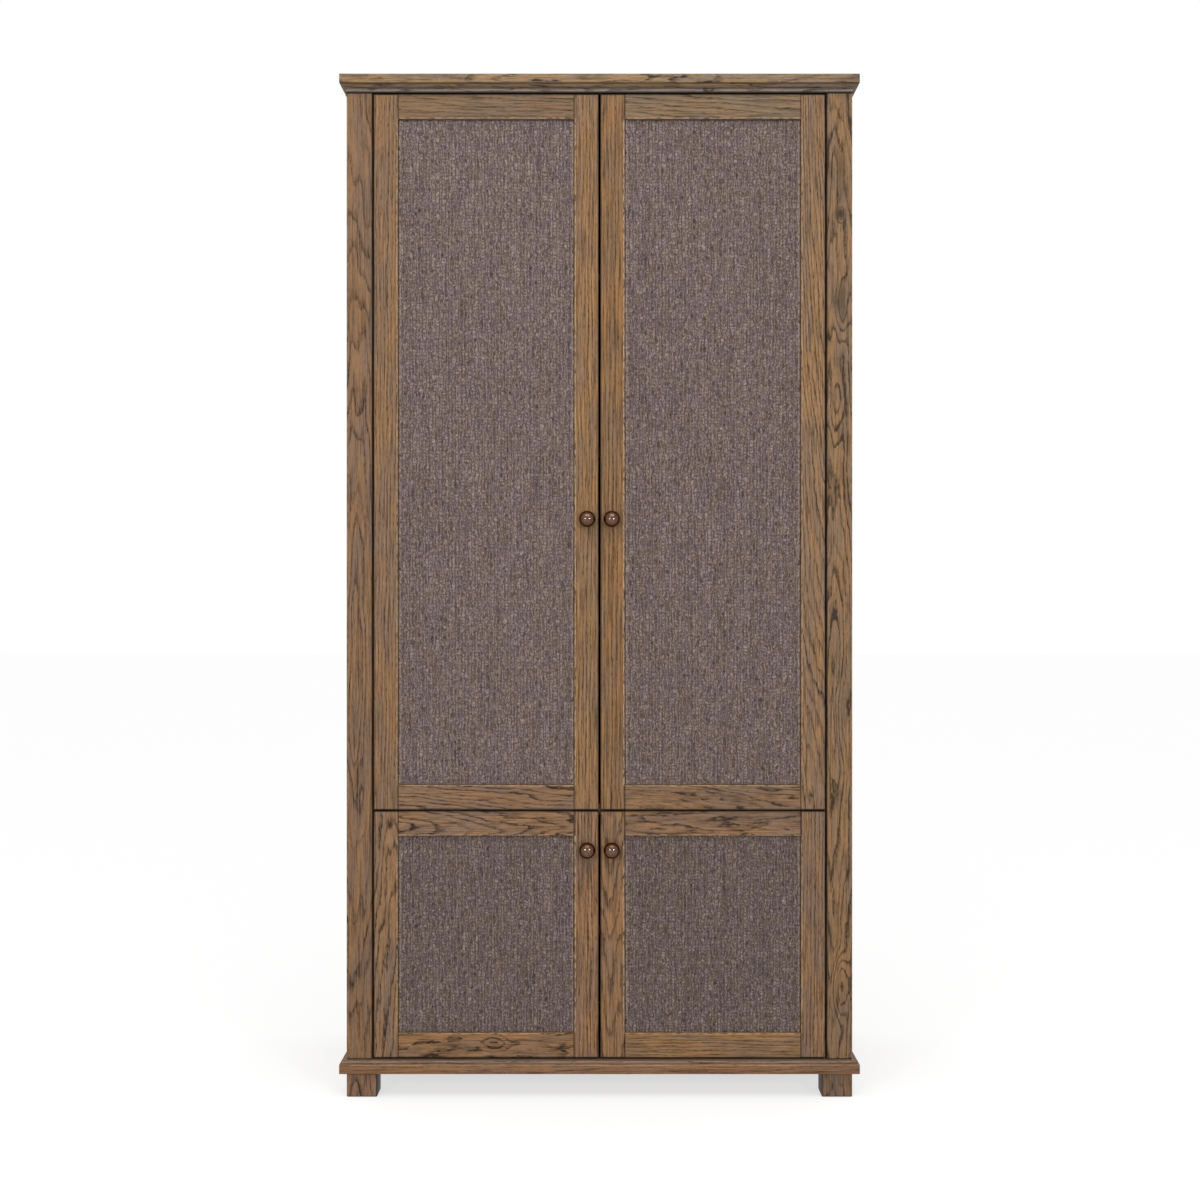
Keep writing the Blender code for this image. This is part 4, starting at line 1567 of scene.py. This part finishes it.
    def arm(self, screw: Piece) -> Piece:
        """Cut the cranked arm, mill its slot, fold in its plate and put in its screws.

        Args:
            screw: the screw's pattern.

        Returns:
            The arm, with the post's face at the origin and its nose towards -Y.
        """
        angles = [math.degrees(math.asin(d / self.swing)) for d in (self.floor_depth, self.nose_depth)]
        dip = arc((self.axis_offset, -self.nose_depth), (self.swing, self.swing), angles[0], angles[1], 12)
        flat = [(self.seat_gap, self.crank), (self.seat_gap, self.arm_length),
                (self.back_height, self.arm_length), (self.arm_height, self.arm_length - self.nose_thickness),
                (self.arm_height, self.crank + self.nose_thickness), (self.nose_reach, self.nose_thickness),
                (self.nose_reach, self.floor_depth - self.nose_depth), *dip,
                (self.neck_height, self.nose_thickness), (self.neck_height, self.crank)]
        outline = [Vector((x, y, -self.arm_width / 2)) * MM for x, y in flat]
        arm = Bench.cut_out("arm", outline, Vector((0, 0, self.arm_width * MM)))
        depth = self.arm_height - self.slot_depth
        slot_low = Vector((depth, self.slot_start, -self.slot_half)) * MM
        slot_high = Vector((self.arm_height + self.slot_depth, self.slot_end, self.slot_half)) * MM
        Bench.carve(arm, Bench.block("slot", slot_low, slot_high))
        Bench.round_edges(arm, self.arm_edge * MM, 25)
        front = self.plate_back - self.plate_width
        foot = Vector((self.seat_gap + self.overlap, front, -self.plate_half)) * MM
        top = Vector((self.seat_gap + self.plate_thickness, self.plate_back, self.plate_half)) * MM
        plate = Bench.block("plate", foot, top)
        Bench.bevel_edges(plate, lambda a, b: abs(a.x - b.x) > MM, self.plate_corner * MM, 6)
        Bench.round_edges(plate, self.pressed_edge * MM)
        middle = (front + self.plate_back) / 2
        face = self.seat_gap + self.plate_thickness - self.screw_sunk
        high = self.plate_half - self.screw_inset
        seats = ((face, middle, high), (face, middle, -high), *((depth, y, 0) for y in self.slot_screws))
        screws = [Bench.copy_of(screw, "arm_screw", Vector(spot) * MM, (turn, 0, -90))
                  for spot, turn in zip(seats, self.screw_turns)]
        Bench.join(arm, plate, *screws)
        Bench.smooth(arm, 32)
        return arm

    def link(self) -> Piece:
        """Model the folded link's two bars and their foot, cut finely enough to bend.

        Returns:
            The link.
        """
        def block(bar: Bar) -> Piece:
            """Block out a bar."""
            return Bench.block("bar", Vector((bar.near, bar.front, -bar.half)) * MM,
                               Vector((bar.far, bar.back, bar.half)) * MM)

        def lengthways(a: Vector, b: Vector) -> bool:
            """Whether an edge runs along a bar, from back to front."""
            return abs(a.y - b.y) > MM

        foot = block(self.bar_foot)
        Bench.round_edges(foot, self.bar_foot_edge * MM)
        bars = [block(bar) for bar in self.bars]
        for bar in bars:
            Bench.bevel_edges(bar, lengthways, self.bar_edge * MM, 2)
            Bench.select(bar, Bits.EDGES, lengthways)
            bpy.ops.mesh.subdivide(number_cuts=self.steps)
            bpy.ops.object.mode_set(mode="OBJECT")
        link = Bench.join(*bars, foot)
        Bench.smooth(link, 40)
        return link

    def fit(self, door: str, number: int, cup: Piece, arm: Piece, link: Piece) -> None:
        """Copy the three patterns to one hinge's place.

        Args:
            door: the door's name.
            number: the hinge's number, from the bottom.
            cup: the cup's pattern.
            arm: the arm's pattern.
            link: the link's pattern.
        """
        name = f"{door}_hinge_cup_{number}"
        low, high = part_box(name)
        left = low.x < 0
        turn = (0, 0 if left else 180, 0)
        reach = (self.cup_radius + self.lip) * MM
        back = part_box(door + "_outer_stile")[1].y
        height = (low.z + high.z) / 2
        place = Vector((low.x + reach if left else high.x - reach, back, height))
        seat(Bench.copy_of(cup, f"{door}_cup_{number}", place, turn), door, [name])
        name = f"{door}_hinge_arm_{number}"
        low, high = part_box(name)
        gap = self.seat_gap * MM
        nose = high.y - self.arm_length * MM
        place = Vector((low.x - gap if left else high.x + gap, nose, height))
        seat(Bench.copy_of(arm, f"{door}_arm_{number}", place, turn), "carcass", [name])
        made = Bench.copy_of(link, f"{door}_link_{number}", place, turn)
        Bench.clear()
        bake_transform(made)
        log.info("%s bends from the arm to the cup", made.name)


@dataclass
class Door:
    """A door: its frame of four boards, its linen panel, its knob and its half of the hinges."""

    name: str
    frame: dict[str, StainedOak]
    linen: SlubLinen

    def build(self, bronze: AgedBronze) -> None:
        """Dress the frame and build what it holds.

        Args:
            bronze: the knobs' bronze.
        """
        low, high = self.opening()
        rail_low, rail_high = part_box(self.name + "_bottom_rail")
        rail = (rail_high.z - rail_low.z) * PER_MM
        tenon = (low.x - rail_low.x) * PER_MM
        for stile in ("outer_stile", "inner_stile"):
            name = f"{self.name}_{stile}"
            side = 1 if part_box(name)[0].x < low.x else -1
            dress_node(name, Run.UPRIGHT_FACING_FRONT, self.frame[stile], Edging(side, rail))
        for board, side in (("top_rail", -1), ("bottom_rail", 1)):
            dress_node(f"{self.name}_{board}", Run.ACROSS_FACING_FRONT, self.frame[board],
                       Edging(side, hidden=tenon))
        PanelCloth(self.name, self.linen, INSIDE_OAK).build(low, high)
        BallKnob(self.name).build(bronze)

    def opening(self) -> tuple[Vector, Vector]:
        """Find the opening that the frame leaves.

        Returns:
            Its lowest and highest corner.
        """
        stiles = [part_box(f"{self.name}_{s}_stile") for s in ("outer", "inner")]
        stiles.sort(key=lambda box: box[0].x)
        rail_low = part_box(f"{self.name}_bottom_rail")[1].z
        rail_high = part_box(f"{self.name}_top_rail")[0].z
        front = stiles[0][0].y
        return (Vector((stiles[0][1].x, front, rail_low)), Vector((stiles[1][0].x, front, rail_high)))


STRAIGHT = Sawing(aside=150, behind=70, slope=0.012, ring=6.4, wander=6)
SLANTED = Sawing(aside=95, behind=60, slope=0.07, ring=6.6, wander=9)
ARCHED = Sawing(aside=2, behind=34, slope=0.10, ring=8.5, wander=10)
PLAIN = Sawing(aside=30, behind=75, slope=0.08, ring=13.0, wander=11, ripple=0.15)

INSIDE_OAK = StainedOak("#A98A6B", PLAIN, rings=0.34, streaks=0.10, grooves=0.2, patches=0.4, specks=0.06,
                        seed=91)

OAK: dict[str, StainedOak] = {
    "cornice_board": StainedOak(
        "#8D735A", Sawing(60, 50, 0.05, 7.0, 12), rings=0.85, streaks=0.20, smoke=0.7, seed=3,
        # painted light on the moulding: a grey reflection on the fillet, shadow under it, and shade on the
        # ovolo and in the quirk
        painted_light_bands=(PaintedLightBand(-15.0, -8.8, "#7C7A79", 0.58), PaintedLightBand(-18.0, -14.6, "#1C130C", 0.92),
               PaintedLightBand(-8.8, -5.6, "#3A2E25", 0.28), PaintedLightBand(-5.6, -2.5, "#3A2E25", 0.40),
               PaintedLightBand(-2.5, 0.4, "#33261B", 0.55))),
    "base_board": StainedOak(
        "#866248", STRAIGHT, rings=0.65, streaks=0.24, patches=0.8, seed=4,
        # painted light on the moulding: a grey reflection on the bead, shade on its top, and a highlight on
        # the rounded nose
        painted_light_bands=(PaintedLightBand(7.0, 13.5, "#8F8275", 0.45), PaintedLightBand(11.4, 13.5, "#2B1F16", 0.3),
               PaintedLightBand(3.0, 5.6, "#C2A27A", 0.34))),
    # Mark(0, 960) on each post is painted shade at its top under the cornice; the right post's other marks
    # are dark stain round its knots
    "left_front_post": StainedOak(
        "#81624A", Sawing(3, 36, 0.07, 6.8, 9, (Knot(-3, -390, 14, 70, 9, 0.35),), 0.25), rings=0.75,
        streaks=0.20, smoke=0.15, rubbed=0.2, side_ink=0.6, seed=5, marks=(Mark(0, 960, 36, 0.45),)),
    "right_front_post": StainedOak(
        "#87684D",
        Sawing(-3, 38, 0.065, 6.6, 9, (Knot(1.8, 710, 11, 22, 18, 0.9), Knot(4, 520, 20, 90, 14),
                                       Knot(-5, 330, 22, 110, 14), Knot(2, -275, 20, 130, 12),
                                       Knot(2, -800, 24, 95, 22)), 0.45),
        rings=1.1, streaks=0.24, smoke=1.0, dark="#382818", rubbed=0.2, side_ink=0.4, seed=6,
        marks=(Mark(0, 960, 36, 0.45), Mark(1.8, 709, 19, 0.95, 1.1), Mark(3, 800, 14, 0.6, 3.2),
               Mark(7, 758, 13, 0.5, 2.6), Mark(1, 548, 14, 0.6, 3.0), Mark(7, 512, 13, 0.5, 2.4))),
    # on the feet, the dark along the inner side is painted shade from under the cabinet
    "front_left_foot": StainedOak("#8C6951", ARCHED, rings=0.85, streaks=0.2, smoke=0.4, rubbed=0.1,
                                  dirt_and_shade=0.85, seed=7),
    "front_right_foot": StainedOak("#7D6352", ARCHED, rings=0.7, streaks=0.2, smoke=0.2, rubbed=0.1,
                                   dirt_and_shade=0.85, seed=8),
    "back_left_foot": StainedOak("#8C6951", STRAIGHT, rings=0.5, streaks=0.2, dirt_and_shade=0.4, rubbed=0.1, seed=9),
    "back_right_foot": StainedOak("#7D6352", STRAIGHT, rings=0.5, streaks=0.2, dirt_and_shade=0.4, rubbed=0.1,
                                  seed=10),
}

SIDE_OAK = {
    "left_side_panel": StainedOak("#81624A", PLAIN, rings=0.5, streaks=0.14, grooves=0.2, patches=0.8,
                                  specks=0.06, seed=11),
    "right_side_panel": StainedOak("#87684D", PLAIN, rings=0.5, streaks=0.14, grooves=0.2, patches=0.8,
                                   specks=0.06, seed=12),
}

# each door's cloth is shifted darker lower down, and the upper left's a little lighter: painted shade for
# light that falls off downwards
LINEN = {
    "upper_left_door": SlubLinen(painted_shade=-0.006),
    "upper_right_door": SlubLinen(),
    "lower_left_door": SlubLinen(painted_shade=0.012),
    "lower_right_door": SlubLinen(painted_shade=0.020),
}

KNOB_ACROSS = 1.5
UPPER_KNOB_ALONG = -131.75
LOWER_KNOB_ALONG = 166.75

# on the inner stiles, the mark at each knob is painted shadow round the knob; the upper right bottom rail's
# marks are dark stain in its figure
DOOR_OAK = {
    "upper_left_door": {
        "outer_stile": StainedOak("#86664C", STRAIGHT, rings=0.90, streaks=0.30, seed=21),
        "inner_stile": StainedOak("#8B694A", STRAIGHT, rings=0.95, streaks=0.30, rubbed=0.7, seed=22,
                                  marks=(Mark(-KNOB_ACROSS, UPPER_KNOB_ALONG),)),
        "top_rail": StainedOak("#7C624A", SLANTED, rings=0.58, streaks=0.20, patches=0.7, seed=23),
        "bottom_rail": StainedOak("#866750", Sawing(-60, 50, -0.12, 8.0, 10), rings=1.0, streaks=0.2,
                                  smoke=0.4, seed=24),
    },
    "upper_right_door": {
        "outer_stile": StainedOak("#89694E", Sawing(60, 75, -0.09, 5.2, 6), rings=1.0, streaks=0.34, seed=31),
        "inner_stile": StainedOak("#856242", STRAIGHT, rings=0.90, streaks=0.32, patches=1.2, rubbed=0.9,
                                  seed=32, marks=(Mark(KNOB_ACROSS, UPPER_KNOB_ALONG),)),
        "top_rail": StainedOak("#7C654F", SLANTED, rings=0.75, streaks=0.24, patches=0.7, seed=33),
        "bottom_rail": StainedOak("#84654D", Sawing(-60, 50, -0.14, 7.5, 14), rings=0.7, streaks=0.2,
                                  smoke=0.9, seed=34, marks=(Mark(0, -48, 15, 0.4, 1.6),
                                                             Mark(2, -115, 12, 0.35, 1.5),
                                                             Mark(-3, 35, 12, 0.3, 1.5))),
    },
    "lower_left_door": {
        "outer_stile": StainedOak("#896A52", Sawing(30, 40, 0.08, 7.5, 10), rings=1.0, streaks=0.24,
                                  smoke=0.3, seed=41),
        "inner_stile": StainedOak("#8C694F", STRAIGHT, rings=0.95, streaks=0.34, smoke=0.5, rubbed=0.8,
                                  seed=42, marks=(Mark(-KNOB_ACROSS, LOWER_KNOB_ALONG),)),
        "top_rail": StainedOak("#896951", Sawing(2, 34, -0.16, 9.0, 10, ripple=0.9), rings=1.0,
                               streaks=0.2, smoke=0.6, seed=43),
        "bottom_rail": StainedOak(
            "#8B684B", Sawing(-4, 36, 0.05, 9.0, 14, (Knot(4, -16, 22, 38, 15, 0.1),), 0.9),
            rings=1.0, streaks=0.3, smoke=1.0, seed=44),
    },
    "lower_right_door": {
        "outer_stile": StainedOak("#86674F", STRAIGHT, rings=1.0, streaks=0.34, seed=51),
        "inner_stile": StainedOak("#8A674A", Sawing(3, 46, -0.09, 7.5, 7), rings=0.85, streaks=0.24,
                                  rubbed=0.7, seed=52, marks=(Mark(KNOB_ACROSS, LOWER_KNOB_ALONG),)),
        "top_rail": StainedOak("#83644C", Sawing(-3, 36, 0.04, 9.0, 15, ripple=0.9), rings=0.9,
                               streaks=0.24, smoke=0.5, seed=53),
        "bottom_rail": StainedOak("#8C6A4C", STRAIGHT, rings=0.85, streaks=0.32, seed=54),
    },
}


@dataclass
class Carcass:
    """The fixed body: cornice, base board, feet, posts, sides, back and shelves."""

    shelves: tuple[str, ...] = ("lower_shelf", "middle_shelf", "upper_shelf_1", "upper_shelf_2",
                                "upper_shelf_3")

    def build(self) -> None:
        """Build or dress every board."""
        MouldedBoard("cornice_board", OAK["cornice_board"], cornice_profile()).build()
        MouldedBoard("base_board", OAK["base_board"], base_profile()).build()
        for end in ("front", "back"):
            for side, _ in SIDES:
                name = f"{end}_{side}_foot"
                Foot(name, OAK[name]).build()
        for side, outward in SIDES:
            name = side + "_front_post"
            dress_node(name, Run.UPRIGHT_FACING_FRONT, OAK[name], Edging(outward))
            name = side + "_side_panel"
            dress_node(name, Run.UPRIGHT_FACING_SIDE, SIDE_OAK[name])
        dress_node("back_panel", Run.UPRIGHT_FACING_FRONT, INSIDE_OAK)
        for shelf in self.shelves:
            dress_node(shelf, Run.ACROSS_LYING_FLAT, INSIDE_OAK)


@dataclass(frozen=True)
class Lamp:
    """A soft studio lamp."""

    name: str
    place: Triple
    aim: Triple
    size: Span
    radiance: float

    def hang(self) -> None:
        """Put the lamp up and point it."""
        light = bpy.data.lights.new(self.name, "AREA")
        light.shape = "RECTANGLE"
        light.size, light.size_y = self.size
        light.energy = self.radiance * math.pi * self.size[0] * self.size[1]
        lamp = bpy.data.objects.new(self.name, light)
        bpy.context.scene.collection.objects.link(lamp)
        lamp.location = self.place
        lamp.rotation_euler = (Vector(self.aim) - Vector(self.place)).to_track_quat("-Z", "Y").to_euler()


@dataclass
class Studio:
    """A white studio: a pale floor, soft lamps, an even surround and the camera."""

    eye_height: float = 0.973
    eye_aside: float = 0.001
    eye_distance: float = 3.70
    lens: float = 56.7
    sensor: float = 36.0
    surround: float = 0.76
    floor_size: float = 60.0
    floor_colour: str = "#B0B0B0"
    floor_glow: float = 0.655
    lamps: tuple[Lamp, ...] = (
        Lamp("left_softbox", (-1.5, -3.7, 1.25), (0.0, -0.25, 1.0), (0.36, 0.40), 56.0),
        Lamp("right_softbox", (1.5, -3.7, 1.25), (0.0, -0.25, 1.0), (0.36, 0.40), 56.0),
        Lamp("overhead_softbox", (0.0, -2.3, 3.3), (0.0, -0.1, 1.2), (2.6, 1.4), 2.4),
    )

    def build(self) -> None:
        """Set everything up."""
        self.set_camera()
        self.light_world()
        self.lay_floor()
        for lamp in self.lamps:
            lamp.hang()
        bpy.context.scene.view_settings.view_transform = "Standard"

    def set_camera(self) -> None:
        """Stand the camera level in front of the doors."""
        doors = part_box("upper_left_door_outer_stile")[0].y
        camera = bpy.data.cameras.new("camera")
        camera.lens = self.lens
        camera.sensor_width = self.sensor
        stand = bpy.data.objects.new("camera", camera)
        bpy.context.scene.collection.objects.link(stand)
        stand.location = (self.eye_aside, doors - self.eye_distance, self.eye_height)
        stand.rotation_euler = (math.pi / 2, 0, 0)
        bpy.context.scene.camera = stand
        log.info("the camera stands %.2f m in front of the doors", self.eye_distance)

    def seen(self, recipe: Recipe) -> Node:
        """One for rays that show the background itself: from the camera, in metal or through glass.

        Args:
            recipe: the recipe to add to.

        Returns:
            The node with the share.
        """
        rays = recipe.add("LightPath").outputs
        shown = recipe.add("Math", (rays["Is Camera Ray"], rays["Is Glossy Ray"]), operation="MAXIMUM")
        return recipe.add("Math", (shown, rays["Is Transmission Ray"]), operation="MAXIMUM")

    def light_world(self) -> None:
        """Make the surround white to look at and softer as a light."""
        world = bpy.data.worlds.new("white_surround")
        bpy.context.scene.world = world
        recipe = Recipe(world)
        strength = recipe.add("MapRange", (self.seen(recipe), 0.0, 1.0, self.surround, 1.0))
        recipe.fill(recipe.nodes["Background"], {"Color": (1, 1, 1, 1), "Strength": strength})

    def lay_floor(self) -> None:
        """Lay a pale floor that keeps the cabinet's shadow and fades to white."""
        Bench.clear()
        bpy.ops.mesh.primitive_plane_add(size=self.floor_size, location=(0, 0, 0))
        floor = bpy.context.object
        floor.name = "floor"
        recipe = Recipe(bpy.data.materials.new("pale_floor"))
        dress(floor, recipe.finish({"Base Color": srgb(self.floor_colour), "Roughness": 0.9,
                                    "Specular IOR Level": 0.0}))
        amount = recipe.add("Math", (self.seen(recipe), self.floor_glow), operation="MULTIPLY")
        glow = recipe.add("Emission", {"Strength": amount})
        both = recipe.add("AddShader", (recipe.nodes["Principled BSDF"], glow))
        recipe.fill(recipe.nodes["Material Output"], {"Surface": both})


def main() -> None:
    """Load the frame, build the cabinet's looks round it and light it."""
    logging.basicConfig(level=logging.INFO, format="%(message)s")
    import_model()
    Studio().build()
    bronze = AgedBronze()
    Carcass().build()
    for door, frame in DOOR_OAK.items():
        Door(door, frame, LINEN[door]).build(bronze)
    ConcealedHinges().build(list(DOOR_OAK), NickelPlate().make())
    Bench.clear()


if __name__ == "__main__":
    main()
